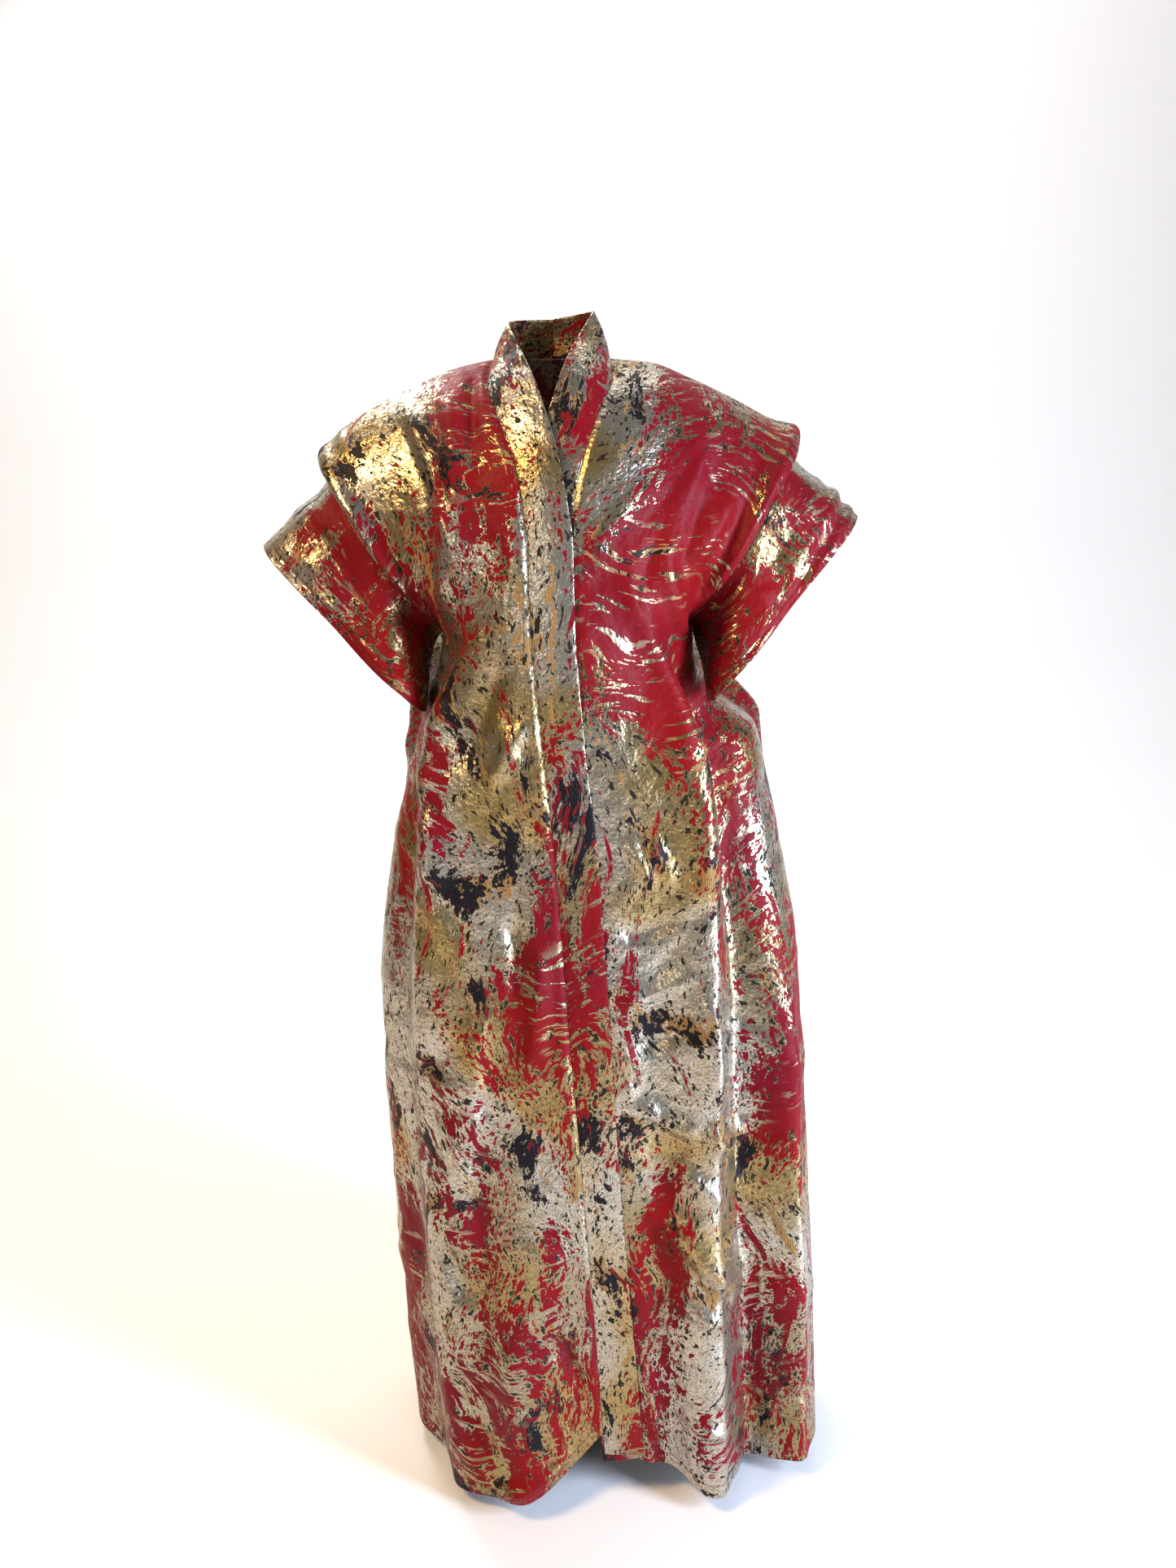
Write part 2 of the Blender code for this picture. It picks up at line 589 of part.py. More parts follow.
def add_sheet(name, outer, inner, closed, colour, roughness, metallic):
    """A wall between two grids of points. A closed one is a tube."""
    rows, columns = outer.shape[:2]
    vertices = np.concatenate([outer.reshape(-1, 3), inner.reshape(-1, 3)]).tolist()
    offset = rows * columns
    last = columns if closed else columns - 1
    faces = []
    for row in range(rows - 1):
        for column in range(last):
            after = (column + 1) % columns
            corner = (row * columns + column, row * columns + after)
            below = ((row + 1) * columns + after, (row + 1) * columns + column)
            faces.append(corner + below)
            faces.append(tuple(offset + index for index in reversed(corner + below)))
    for row in (0, rows - 1):
        for column in range(last):
            ends = (row * columns + column, row * columns + (column + 1) % columns)
            start, end = ends if row > 0 else ends[::-1]
            faces.append((start, end, offset + end, offset + start))
    if not closed:
        for column in (0, columns - 1):
            for row in range(rows - 1):
                ends = (row * columns + column, (row + 1) * columns + column)
                start, end = ends if column == 0 else ends[::-1]
                faces.append((start, end, offset + end, offset + start))
    return add_object(name, vertices, faces, colour, roughness, metallic)


def back_column(side, places_count):
    """The back's columns from its middle towards one side, as a slice."""
    middle = places_count // 2
    return slice(middle, None) if side == "left" else slice(middle, None, -1)


def make_grids():
    """Points and normals of every piece."""
    places = np.linspace(0.0, 1.0, FRONT_COLUMNS + 1)
    cap_parts = np.linspace(0.0, 1.0, CAP_ROWS)
    fall_parts = np.linspace(0.0, 1.0, FALL_ROWS) ** FALL_SPREAD
    share = neck_share()
    half = np.concatenate([np.linspace(0.0, share, NECK_COLUMNS + 1), share + (1.0 - share) * places[1:]])
    back_places = np.concatenate([-half[::-1], half[1:]])

    grids = {"back": back_panel(back_places, cap_parts, fall_parts)}
    neck_numbers = np.linspace(0.0, SHOULDER_ROW, NECK_COLUMNS + 1)[:-1]
    across = np.linspace(0.0, 1.0, BAND_COLUMNS + 1)
    for side, hem in BAND_HEMS.items():
        front = front_panel(side, places, cap_parts, fall_parts)
        back = grids["back"][0][:, back_column(side, len(back_places))]
        seam = np.concatenate([back[0, :NECK_COLUMNS], front[0][:, 0]])
        if seam[-1, 2] > hem:
            seam = np.concatenate([seam, front_seam(side, np.linspace(seam[-1, 2], hem, 3)[1:])])
        band = band_grid(side, seam, neck_numbers, across)
        front_edge = front[0][:CAP_ROWS, -1]
        back_edge = back[:CAP_ROWS, -1]
        head = np.concatenate([front_edge, back_edge[-2:0:-1]])
        grids["front_" + side] = front
        grids["band_" + side] = (band, grid_normals(band, side == "right"))
        grids["sleeve_" + side] = sleeve_grid(side, head, np.linspace(0.0, 1.0, SLEEVE_RINGS))
    return grids


def join_seams(normals):
    """Give the edges that meet in a seam the same normals, so that their walls match."""
    share_normals(normals["band_right"][0], normals["band_left"][0])
    for side in SIGN:
        front = normals["front_" + side]
        back = normals["back"][:, back_column(side, normals["back"].shape[1])]
        band = normals["band_" + side]
        head = normals["sleeve_" + side][0]
        rows = len(front)
        last = CAP_ROWS - 1
        share_normals(front[0], back[0, NECK_COLUMNS:])
        share_normals(front[:, 0], band[NECK_COLUMNS:NECK_COLUMNS + rows, 0])
        share_normals(back[0, :NECK_COLUMNS], band[:NECK_COLUMNS, 0])
        share_normals(front[CAP_ROWS:, -1], back[CAP_ROWS:, -1])
        share_normals(front[1:last, -1], head[1:last])
        share_normals(back[1:last, -1], head[:last:-1])
        neck_end = slice(NECK_COLUMNS, NECK_COLUMNS + 1)
        share_normals(front[0, 0:1], back[0, neck_end], band[neck_end, 0])
        share_normals(front[0:1, -1], back[0:1, -1], head[0:1])
        underarm = [head[last:CAP_ROWS]] * SLEEVE_SHARE
        share_normals(front[last:CAP_ROWS, -1], back[last:CAP_ROWS, -1], *underarm)
        sleeve = normals["sleeve_" + side]
        sleeve[1] = unit(sleeve[0] + SLEEVE_SHARE * sleeve[1])
    middle = normals["back"].shape[1] // 2
    share_normals(normals["back"][0:1, middle], normals["band_right"][0:1, 0], normals["band_left"][0:1, 0])


def main():
    for old in list(bpy.data.objects):
        bpy.data.objects.remove(old)

    made = make_grids()
    normals = {name: own for name, (grid, own) in made.items()}
    join_seams(normals)
    for name, (grid, own) in made.items():
        closed = name.startswith("sleeve")
        thick, colour, roughness, metallic = FINISHES[name.split("_")[0]]
        outer = draw_in(grid, normals[name], closed)
        inner = outer - normals[name] * thick
        add_sheet(name, outer, inner, closed, colour, roughness, metallic)


main()
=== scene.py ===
import bmesh
import bpy
import numpy as np
from mathutils import Matrix, Vector


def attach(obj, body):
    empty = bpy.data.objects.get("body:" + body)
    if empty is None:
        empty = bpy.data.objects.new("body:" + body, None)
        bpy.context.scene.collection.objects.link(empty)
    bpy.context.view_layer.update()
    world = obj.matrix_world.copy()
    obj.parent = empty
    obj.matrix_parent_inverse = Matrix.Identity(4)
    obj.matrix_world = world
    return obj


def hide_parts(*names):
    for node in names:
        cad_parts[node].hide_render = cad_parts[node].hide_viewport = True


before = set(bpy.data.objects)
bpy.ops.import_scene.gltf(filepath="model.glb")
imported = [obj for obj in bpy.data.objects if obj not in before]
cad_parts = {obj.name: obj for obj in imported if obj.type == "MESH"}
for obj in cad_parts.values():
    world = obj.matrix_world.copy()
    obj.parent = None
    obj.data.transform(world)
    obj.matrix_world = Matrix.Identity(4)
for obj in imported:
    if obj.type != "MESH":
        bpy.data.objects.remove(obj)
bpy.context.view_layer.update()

# Back. One wide piece of stiff metallic brocade with a scooped neck. It is sewn to the fronts
# along the shoulders and the sides, to the sleeves at the armholes and to the neck band, and
# its lower edge is turned in and stitched. It hangs free, so it falls in deep upright folds.

WALL = 0.0018
SEAM_GAP = 0.0003
HEM_TURN = 0.020
TURN_EDGE = 0.001
HEM_STITCH = 0.017
STITCH_STEP = 0.0040
STITCH_SHARE = 0.72
THREAD_RADIUS = 0.0003
THREAD_SINK = 0.0001
GROOVE_DEPTH = 0.0007
GROOVE_WIDTH = 0.0022
# How far the inner side of a seam leans into its piece, in wall thicknesses.
SIDE_LEAN = 0.7
NECK_LEAN = -0.4
UNDERARM_Z = -0.315
CAP_ROWS = 64
FALL_ROWS = 190
HEM_ROWS = 30
HEM_SHARE = 0.968
LEVELS = 140
FINE = 240
BACK_NECK_COLUMNS = 10
BACK_SIDE_COLUMNS = 72
# Share of half the back's width, at the shoulder, that its neck takes.
NECK_SHARE = 4 / 24
# How much of the cap's drop is even, while the rest follows a quarter turn.
CAP_SLOPE = 0.25
# Share of the cap over which cloth begins to move, below the shoulder seam.
CAP_HELD = 0.05
BACK_HOLD = 0.12
ROLL_HOLD = 0.06

SHOULDER_COLUMNS = ("part", "right_x", "right_z", "left_x", "left_z")
SHOULDER = (
    (0.00, 0.071, 0.010, 0.069, 0.006),
    (0.20, 0.118, 0.001, 0.118, 0.000),
    (0.38, 0.160, -0.014, 0.162, -0.018),
    (0.60, 0.212, -0.037, 0.214, -0.043),
    (0.78, 0.251, -0.058, 0.257, -0.067),
    (0.88, 0.271, -0.074, 0.279, -0.077),
    (0.94, 0.279, -0.092, 0.288, -0.088),
    (1.00, 0.274, -0.118, 0.281, -0.110),
)
ARMHOLE_COLUMNS = ("part", "right_x", "left_x", "z_drop", "front_y", "back_y")
ARMHOLE = (
    (0.00, 0.274, 0.281, 0.00, 0.000, 0.000),
    (0.20, 0.264, 0.272, 0.10, -0.050, 0.046),
    (0.45, 0.240, 0.248, 0.33, -0.086, 0.080),
    (0.70, 0.202, 0.210, 0.63, -0.094, 0.084),
    (0.88, 0.166, 0.172, 0.88, -0.060, 0.052),
    (1.00, 0.150, 0.152, 1.00, 0.000, 0.006),
)
SIDE_COLUMNS = ("z", "right_x", "right_y", "left_x", "left_y", "back_x", "back_y", "square", "back_square")
SIDE = (
    (-0.315, 0.150, 0.000, 0.152, 0.006, 0.000, 0.134, 2.0, 2.6),
    (-0.335, 0.156, 0.018, 0.158, 0.024, 0.000, 0.136, 2.0, 2.6),
    (-0.365, 0.172, 0.030, 0.172, 0.038, 0.000, 0.138, 2.0, 2.7),
    (-0.410, 0.186, 0.028, 0.200, 0.052, 0.000, 0.141, 2.1, 2.7),
    (-0.450, 0.193, 0.010, 0.246, 0.044, 0.000, 0.143, 2.2, 2.6),
    (-0.500, 0.209, 0.002, 0.258, 0.036, 0.000, 0.145, 2.3, 2.5),
    (-0.600, 0.236, 0.000, 0.276, 0.018, 0.002, 0.148, 2.3, 2.4),
    (-0.770, 0.262, 0.000, 0.295, -0.016, 0.006, 0.154, 2.4, 2.3),
    (-1.000, 0.266, 0.000, 0.302, -0.056, 0.012, 0.162, 2.5, 2.3),
    (-1.250, 0.261, -0.004, 0.307, -0.088, 0.018, 0.170, 2.7, 2.3),
    (-1.440, 0.254, -0.010, 0.310, -0.104, 0.020, 0.174, 2.8, 2.3),
)
NECK_COLUMNS = ("seam_x", "seam_y", "seam_z", "edge_x", "edge_y", "edge_z")
NECKS = {
    "right": (
        (0.000, 0.060, 0.014, 0.000, 0.052, 0.060),
        (-0.044, 0.044, 0.014, -0.034, 0.036, 0.058),
        (-0.071, 0.000, 0.010, -0.052, -0.004, 0.050),
        (-0.077, -0.060, -0.022, -0.036, -0.052, 0.014),
        (-0.061, -0.112, -0.072, -0.018, -0.100, -0.030),
        (-0.042, -0.147, -0.134, 0.004, -0.143, -0.108),
        (-0.034, -0.163, -0.205, 0.017, -0.162, -0.195),
    ),
    "left": (
        (0.000, 0.060, 0.014, 0.000, 0.052, 0.060),
        (0.043, 0.044, 0.013, 0.035, 0.036, 0.063),
        (0.069, 0.000, 0.006, 0.051, -0.006, 0.060),
        (0.070, -0.060, -0.020, 0.031, -0.038, 0.028),
        (0.053, -0.101, -0.058, 0.014, -0.081, -0.006),
        (0.030, -0.137, -0.118, -0.012, -0.120, -0.080),
        (0.010, -0.159, -0.205, -0.037, -0.157, -0.190),
    ),
}
SHOULDER_ROW = 2
HEM_COLUMNS = ("part", "right_z", "left_z", "back_z")
HEM = (
    (0.00, -1.352, -1.398, -1.440),
    (0.12, -1.398, -1.410, -1.440),
    (0.28, -1.432, -1.428, -1.438),
    (0.50, -1.436, -1.438, -1.434),
    (0.75, -1.432, -1.428, -1.430),
    (1.00, -1.428, -1.414, -1.428),
)
# Large folds: where each one starts and ends, its half widths and how far it stands out.
FOLD_COLUMNS = ("z_top", "z_low", "at_top", "at_low", "near", "far", "height", "fade_top", "fade_low")
BACK_FOLDS = (
    (-0.12, -1.60, -0.06, 0.00, 0.10, 0.10, -0.010, 0.20, 0.10),
    (-0.30, -1.60, -0.34, -0.38, 0.10, 0.08, 0.018, 0.30, 0.10),
    (-0.34, -1.60, -0.56, -0.60, 0.09, 0.10, -0.024, 0.25, 0.10),
    (-0.45, -1.60, -0.80, -0.80, 0.08, 0.08, 0.014, 0.30, 0.10),
    (-0.28, -1.60, 0.26, 0.30, 0.09, 0.10, 0.020, 0.30, 0.10),
    (-0.36, -1.60, 0.47, 0.50, 0.08, 0.09, -0.026, 0.25, 0.10),
    (-0.45, -1.60, 0.70, 0.68, 0.10, 0.08, 0.018, 0.30, 0.10),
    (-0.24, -0.58, -0.80, -0.82, 0.12, 0.10, 0.034, 0.10, 0.20),
    (-0.24, -0.60, 0.80, 0.82, 0.10, 0.12, 0.036, 0.10, 0.20),
)
# Creases in mm, seen from the front: through three points, half widths on the two sides, height.
CREASE_COLUMNS = ("x1", "z1", "x2", "z2", "x3", "z3", "near", "far", "height")
BACK_CREASES = (
    (-190, -120, -150, -330, -160, -560, 14, 26, 10),
    (190, -110, 160, -320, 175, -600, 24, 14, 10),
    (-80, -250, -60, -520, -70, -900, 20, 28, 7),
    (60, -330, 80, -640, 50, -1000, 22, 20, -8),
    (-120, -700, -90, -1000, -130, -1400, 18, 24, -8),
    (130, -760, 120, -1080, 160, -1420, 22, 18, 8),
    (-230, -420, -170, -520, -120, -560, 16, 20, 7),
    (240, -430, 180, -540, 110, -600, 18, 16, 7),
)
CREASE_STEPS = 13
CREASE_REACH = 3.0
CREASE_FADE = 0.3
# Small creases between them, in mm: seed, count, and the box of the back that they lie in.
SMALL_OF_BACK = (11, 170, (-260.0, 260.0, -1430.0, -60.0), 0.05)
SMALL_SPREAD = 0.7
SMALL_BEND = 0.25
SMALL_LENGTHS = (25.0, 90.0)
SMALL_WIDTHS = (5.0, 13.0)
SMALL_HEIGHTS = (0.9, 3.2)
SMALL_FAR_SIDE = 1.4
ROLL_PLACE = 0.90
ROLL_WIDTH = 0.055
ROLL_HEIGHT = 0.013
ROLL_FADE = 0.08
SIGN = {"right": -1.0, "left": 1.0}
BROCADE_OF_BACK = ((3.1, 1.7), 0.10, 0.47)


def read(rows, columns, key, column, at):
    """Smooth, never overshooting reading of one column of a table along another one."""
    order = sorted(rows, key=lambda row: row[columns.index(key)])
    places = np.array([row[columns.index(key)] for row in order], dtype=float)
    values = np.array([row[columns.index(column)] for row in order], dtype=float)
    steps = np.diff(places)
    slopes = np.diff(values) / steps
    tangents = np.zeros(len(places))
    tangents[0] = slopes[0]
    tangents[-1] = slopes[-1]
    for i in range(1, len(places) - 1):
        if slopes[i - 1] * slopes[i] > 0.0:
            before = 2.0 * steps[i] + steps[i - 1]
            after = steps[i] + 2.0 * steps[i - 1]
            tangents[i] = (before + after) / (before / slopes[i - 1] + after / slopes[i])
    spot = np.clip(np.asarray(at, dtype=float), places[0], places[-1])
    i = np.clip(np.searchsorted(places, spot) - 1, 0, len(steps) - 1)
    t = (spot - places[i]) / steps[i]
    start = (1.0 + 2.0 * t) * (1.0 - t) ** 2 * values[i] + t * (1.0 - t) ** 2 * steps[i] * tangents[i]
    end = t * t * (3.0 - 2.0 * t) * values[i + 1] + t * t * (t - 1.0) * steps[i] * tangents[i + 1]
    return start + end


def smooth_step(low, high, value):
    """Rise from 0 at low to 1 at high, level at both ends."""
    t = np.clip((value - low) / (high - low), 0.0, 1.0)
    return t * t * (3.0 - 2.0 * t)


def unit(vectors):
    """Vectors of length one."""
    return vectors / np.maximum(np.linalg.norm(vectors, axis=-1, keepdims=True), 1e-12)


def even_out(points, places):
    """Read a line of points at shares of its own length."""
    lengths = np.linalg.norm(np.diff(points, axis=0), axis=1)
    along = np.concatenate(([0.0], np.cumsum(lengths))) / lengths.sum()
    return np.stack([np.interp(places, along, points[:, axis]) for axis in range(3)], axis=1)


def neck_route(side, at, part):
    """Points of a band's seam or free edge round the neck, at row numbers."""
    numbered = [(float(number),) + row for number, row in enumerate(NECKS[side])]
    columns = ("row",) + NECK_COLUMNS
    return np.stack([read(numbered, columns, "row", part + axis, at) for axis in ("_x", "_y", "_z")], axis=-1)


def side_point(side, z):
    """A side seam's place at heights below the underarm."""
    x = SIGN[side] * read(SIDE, SIDE_COLUMNS, "z", side + "_x", z)
    return x, read(SIDE, SIDE_COLUMNS, "z", side + "_y", z)


def quarter_row(start, end, square, places):
    """A quarter of a rounded oval in plan, level along X at its start and Y at its end."""
    turn = np.linspace(0.0, 0.5 * np.pi, FINE)
    x = start[0] + (end[0] - start[0]) * np.sin(turn) ** (2.0 / square)
    y = end[1] + (start[1] - end[1]) * np.cos(turn) ** (2.0 / square)
    return even_out(np.stack([x, y, np.zeros(FINE)], axis=1), places)


def shoulder_line(side, places):
    """Points of the shoulder seam at shares of its length."""
    part = np.linspace(0.0, 1.0, FINE)
    x = SIGN[side] * read(SHOULDER, SHOULDER_COLUMNS, "part", side + "_x", part)
    z = read(SHOULDER, SHOULDER_COLUMNS, "part", side + "_z", part)
    return even_out(np.stack([x, np.zeros(FINE), z], axis=1), places)


def armhole_edge(side, half, parts):
    """Points of the armhole seam on the front or the back, from the top to the underarm."""
    x = SIGN[side] * read(ARMHOLE, ARMHOLE_COLUMNS, "part", side + "_x", parts)
    top = SHOULDER[-1][SHOULDER_COLUMNS.index(side + "_z")]
    z = top + (UNDERARM_Z - top) * read(ARMHOLE, ARMHOLE_COLUMNS, "part", "z_drop", parts)
    return np.stack([x, read(ARMHOLE, ARMHOLE_COLUMNS, "part", half + "_y", parts), z], axis=-1)


def cap_paths(tops, ends, parts):
    """Lines of cloth that leave the shoulder level and end upright on the body."""
    turn = 0.5 * np.pi * parts[:, None]
    drop = CAP_SLOPE * parts[:, None] + (1.0 - CAP_SLOPE) * (1.0 - np.cos(turn))
    x = tops[:, 0] + (ends[:, 0] - tops[:, 0]) * smooth_step(0.0, 1.0, parts)[:, None]
    y = tops[:, 1] + (ends[:, 1] - tops[:, 1]) * np.sin(turn)
    z = tops[:, 2] + (ends[:, 2] - tops[:, 2]) * drop
    return np.stack([x, y, z], axis=-1)


def hanging_rows(plan, hem, places, parts):
    """Rows below the underarm. The plan gives a level row's start, end and squareness by height."""
    levels = np.linspace(UNDERARM_Z, hem.min(), LEVELS)
    level_rows = np.array([quarter_row(*plan(z), places) for z in levels])
    z = UNDERARM_Z + (hem - UNDERARM_Z)[None, :] * parts[:, None]
    spot = (z - levels[0]) / (levels[1] - levels[0])
    above = np.clip(spot.astype(int), 0, LEVELS - 2)
    share = (spot - above)[:, :, None]
    column = np.arange(len(places))[None, :]
    rows = level_rows[above, column] * (1.0 - share) + level_rows[above + 1, column] * share
    rows[:, :, 2] = z
    return rows


def back_half(side, places, cap_parts, fall_parts):
    """Half of the back without folds, from its middle to the side seam."""
    def plan(z):
        middle = [float(read(SIDE, SIDE_COLUMNS, "z", name, z)) for name in ("back_x", "back_y")]
        return middle, side_point(side, z), float(read(SIDE, SIDE_COLUMNS, "z", "back_square", z))

    ends = quarter_row(*plan(UNDERARM_Z), places)
    ends[:, 2] = UNDERARM_Z
    neck = neck_route(side, np.clip(SHOULDER_ROW * places / NECK_SHARE, 0.0, SHOULDER_ROW), "seam")
    seam = shoulder_line(side, np.clip((places - NECK_SHARE) / (1.0 - NECK_SHARE), 0.0, 1.0))
    cap = cap_paths(np.where((places <= NECK_SHARE)[:, None], neck, seam), ends, cap_parts)
    hole = armhole_edge(side, "back", cap_parts)
    cap += (hole - cap[:, -1])[:, None, :] * (places ** 2)[None, :, None]
    side_hem = HEM[-1][HEM_COLUMNS.index(side + "_z")] - HEM[-1][HEM_COLUMNS.index("back_z")]
    hem = read(HEM, HEM_COLUMNS, "part", "back_z", places) + side_hem * places ** 2
    return np.concatenate([cap, hanging_rows(plan, hem, places, fall_parts[1:])])


def grid_normals(points, turned):
    """Normals of a grid of points. The turned ones point the other way."""
    normals = unit(np.cross(np.gradient(points, axis=1), np.gradient(points, axis=0)))
    return -normals if turned else normals


def fold_heights(folds, points, places):
    """How far the large folds stand out at each point of a grid."""
    height = np.zeros(points.shape[:2])
    z = points[:, :, 2]
    for row in folds:
        fold = dict(zip(FOLD_COLUMNS, row))
        share = np.clip((fold["z_top"] - z) / (fold["z_top"] - fold["z_low"]), 0.0, 1.0)
        away = places[None, :] - fold["at_top"] - (fold["at_low"] - fold["at_top"]) * share
        width = np.where(away < 0.0, fold["near"], fold["far"])
        start = smooth_step(0.0, fold["fade_top"], fold["z_top"] - z)
        end = smooth_step(0.0, fold["fade_low"], z - fold["z_low"])
        height += fold["height"] * np.exp(-((away / width) ** 2)) * start * end
    return height


def crease_heights(creases, points):
    """How far the creases stand out at each point of a grid, as seen from the front."""
    every = points[:, :, [0, 2]].reshape(-1, 2)
    height = np.zeros(len(every))
    for row in creases:
        crease = {name: value / 1000.0 for name, value in zip(CREASE_COLUMNS, row)}
        ends = np.array([[crease["x" + number], crease["z" + number]] for number in "123"])
        t = np.linspace(0.0, 1.0, CREASE_STEPS)[:, None]
        line = (1.0 - t) ** 2 * ends[0] + 2.0 * t * (1.0 - t) * ends[1] + t * t * ends[2]
        reach = CREASE_REACH * max(crease["near"], crease["far"])
        past_low = every > line.min(axis=0) - reach
        short_of_high = every < line.max(axis=0) + reach
        close = np.flatnonzero(np.all(past_low & short_of_high, axis=1))
        if not len(close):
            continue
        flat = every[close, None, :]
        start, run = line[:-1], np.diff(line, axis=0)
        spot = np.clip(((flat - start) * run).sum(axis=2) / (run * run).sum(axis=1), 0.0, 1.0)
        away = flat - start - spot[:, :, None] * run
        distance = np.linalg.norm(away, axis=2)
        nearest = distance.argmin(axis=1)
        pick = np.arange(len(flat))
        away, spot = away[pick, nearest], spot[pick, nearest]
        turn = run[nearest, 0] * away[:, 1] - run[nearest, 1] * away[:, 0]
        width = np.where(turn < 0.0, crease["near"], crease["far"])
        share = (nearest + spot) / len(run)
        fade = smooth_step(0.0, CREASE_FADE, share) * smooth_step(0.0, CREASE_FADE, 1.0 - share)
        height[close] += crease["height"] * np.exp(-((distance[pick, nearest] / width) ** 2)) * fade
    return height.reshape(points.shape[:2])


def small_creases(seed, count, box, lean):
    """Short light creases all over a panel, in mm. Lean is the angle that most of them follow."""
    chance = np.random.default_rng(seed)
    rows = []
    for number in range(count):
        x, z = chance.uniform(box[0], box[1]), chance.uniform(box[2], box[3])
        angle = lean + chance.normal(0.0, SMALL_SPREAD)
        length = chance.uniform(*SMALL_LENGTHS)
        step = length * np.array([np.sin(angle), np.cos(angle)])
        bend = chance.uniform(-SMALL_BEND, SMALL_BEND) * length
        width = chance.uniform(*SMALL_WIDTHS)
        height = chance.uniform(*SMALL_HEIGHTS) * chance.choice((-1.0, 1.0))
        middle = (x + bend, z + 0.5 * bend)
        start, end = (x - step[0], z - step[1]), (x + step[0], z + step[1])
        rows.append((*start, *middle, *end, width, SMALL_FAR_SIDE * width, height))
    return rows


def hold_edges(places, first, last):
    """Weights that bring folds to nothing at the ends of a row."""
    return smooth_step(0.0, first, places - places[0]) * smooth_step(0.0, last, places[-1] - places)


def sleeve_roll(points, places):
    """The bulge of the body's cloth over the head of a sleeve."""
    inside = smooth_step(UNDERARM_Z, UNDERARM_Z + ROLL_FADE, points[:, :, 2])
    away = (np.abs(places) - ROLL_PLACE)[None, :] / ROLL_WIDTH
    return ROLL_HEIGHT * np.exp(-(away ** 2)) * inside


def raise_cloth(points, height, parts, turned):
    """Move a grid out along its normals. Nothing moves at the shoulder seam."""
    held = smooth_step(0.0, CAP_HELD, parts)[:, None]
    return points + grid_normals(points, turned) * (height * held)[:, :, None]


def cloth_lengths(points, zero_row, zero_column):
    """Lengths of cloth in metres, along the rows and down the columns, from one row and column."""
    along = np.linalg.norm(np.diff(points, axis=1), axis=2)
    down = np.linalg.norm(np.diff(points, axis=0), axis=2)
    u = np.pad(np.cumsum(along, axis=1), ((0, 0), (1, 0)))
    v = np.pad(np.cumsum(down, axis=0), ((1, 0), (0, 0)))
    return np.stack([u - u[:, zero_column:zero_column + 1], v[zero_row] - v], axis=-1)


def draw_in(points, gap, lean, sewn):
    """Move a grid's sewn edges into the piece by a gap and by each edge's own share of a lean."""
    moved = points.copy()
    edges = {
        "top": (moved[0], points[0], points[1]),
        "first": (moved[:, 0], points[:, 0], points[:, 1]),
        "last": (moved[:, -1], points[:, -1], points[:, -2]),
    }
    for name, share in sewn.items():
        edge, here, within = edges[name]
        edge += unit(within - here) * (gap + lean * np.broadcast_to(share, len(here)))[:, None]
    return moved


MERGE_DISTANCE = 1e-6
EDGE_ANGLE = 1.1
EDGE_BEVEL = 0.0005


def cloth_piece(name, points, normals, lengths, thick, sewn, tube=False):
    """A wall of cloth: a grid set on the inner points, with a second one raised to the outer points."""
    rows, columns = points.shape[:2]
    outer = draw_in(points, 0.5 * SEAM_GAP, 0.0, sewn)
    inner = draw_in(points - normals * thick, 0.5 * SEAM_GAP, WALL, sewn)
    shape = bmesh.new()
    bmesh.ops.create_grid(shape, x_segments=columns - 1, y_segments=rows - 1, size=1.0)
    wall = shape.verts.layers.float_vector.new("wall")
    cloth = shape.loops.layers.uv.new("cloth")
    row_of, column_of = {}, {}
    for vertex in shape.verts:
        row = round(0.5 * (vertex.co.y + 1.0) * (rows - 1))
        column = round(0.5 * (vertex.co.x + 1.0) * (columns - 1))
        row_of[vertex.index], column_of[vertex.index] = row, column
        vertex[wall] = outer[row, column] - inner[row, column]
        vertex.co = inner[row, column]
    for face in shape.faces:
        for loop in face.loops:
            loop[cloth].uv = lengths[row_of[loop.vert.index], column_of[loop.vert.index]]
    if tube:
        ends = [vertex for vertex in shape.verts if column_of[vertex.index] in (0, columns - 1)]
        bmesh.ops.remove_doubles(shape, verts=ends, dist=MERGE_DISTANCE)
        bmesh.ops.recalc_face_normals(shape, faces=shape.faces[:])
    for face in shape.faces:
        face.material_index = 1
    raised = bmesh.ops.extrude_face_region(shape, geom=shape.faces[:], use_keep_orig=True)
    for item in raised["geom"]:
        if isinstance(item, bmesh.types.BMVert):
            item.co += item[wall]
        elif isinstance(item, bmesh.types.BMFace):
            item.material_index = 0
    shape.verts.layers.float_vector.remove(wall)
    if shape.calc_volume(signed=True) < 0.0:
        bmesh.ops.reverse_faces(shape, faces=shape.faces[:])
    mesh = bpy.data.meshes.new(name)
    shape.to_mesh(mesh)
    shape.free()
    mesh.shade_smooth()
    piece = bpy.data.objects.new(name, mesh)
    bpy.context.scene.collection.objects.link(piece)
    edge = piece.modifiers.new("pressed edge", "BEVEL")
    edge.limit_method = "ANGLE"
    edge.angle_limit = EDGE_ANGLE
    edge.width = EDGE_BEVEL
    edge.segments = 2
    return piece


def linear(colour):
    """An sRGB hex colour as linear red, green, blue and alpha."""
    parts = [int(colour[i:i + 2], 16) / 255.0 for i in (1, 3, 5)]
    return tuple(p / 12.92 if p <= 0.04045 else ((p + 0.055) / 1.055) ** 2.4 for p in parts) + (1.0,)


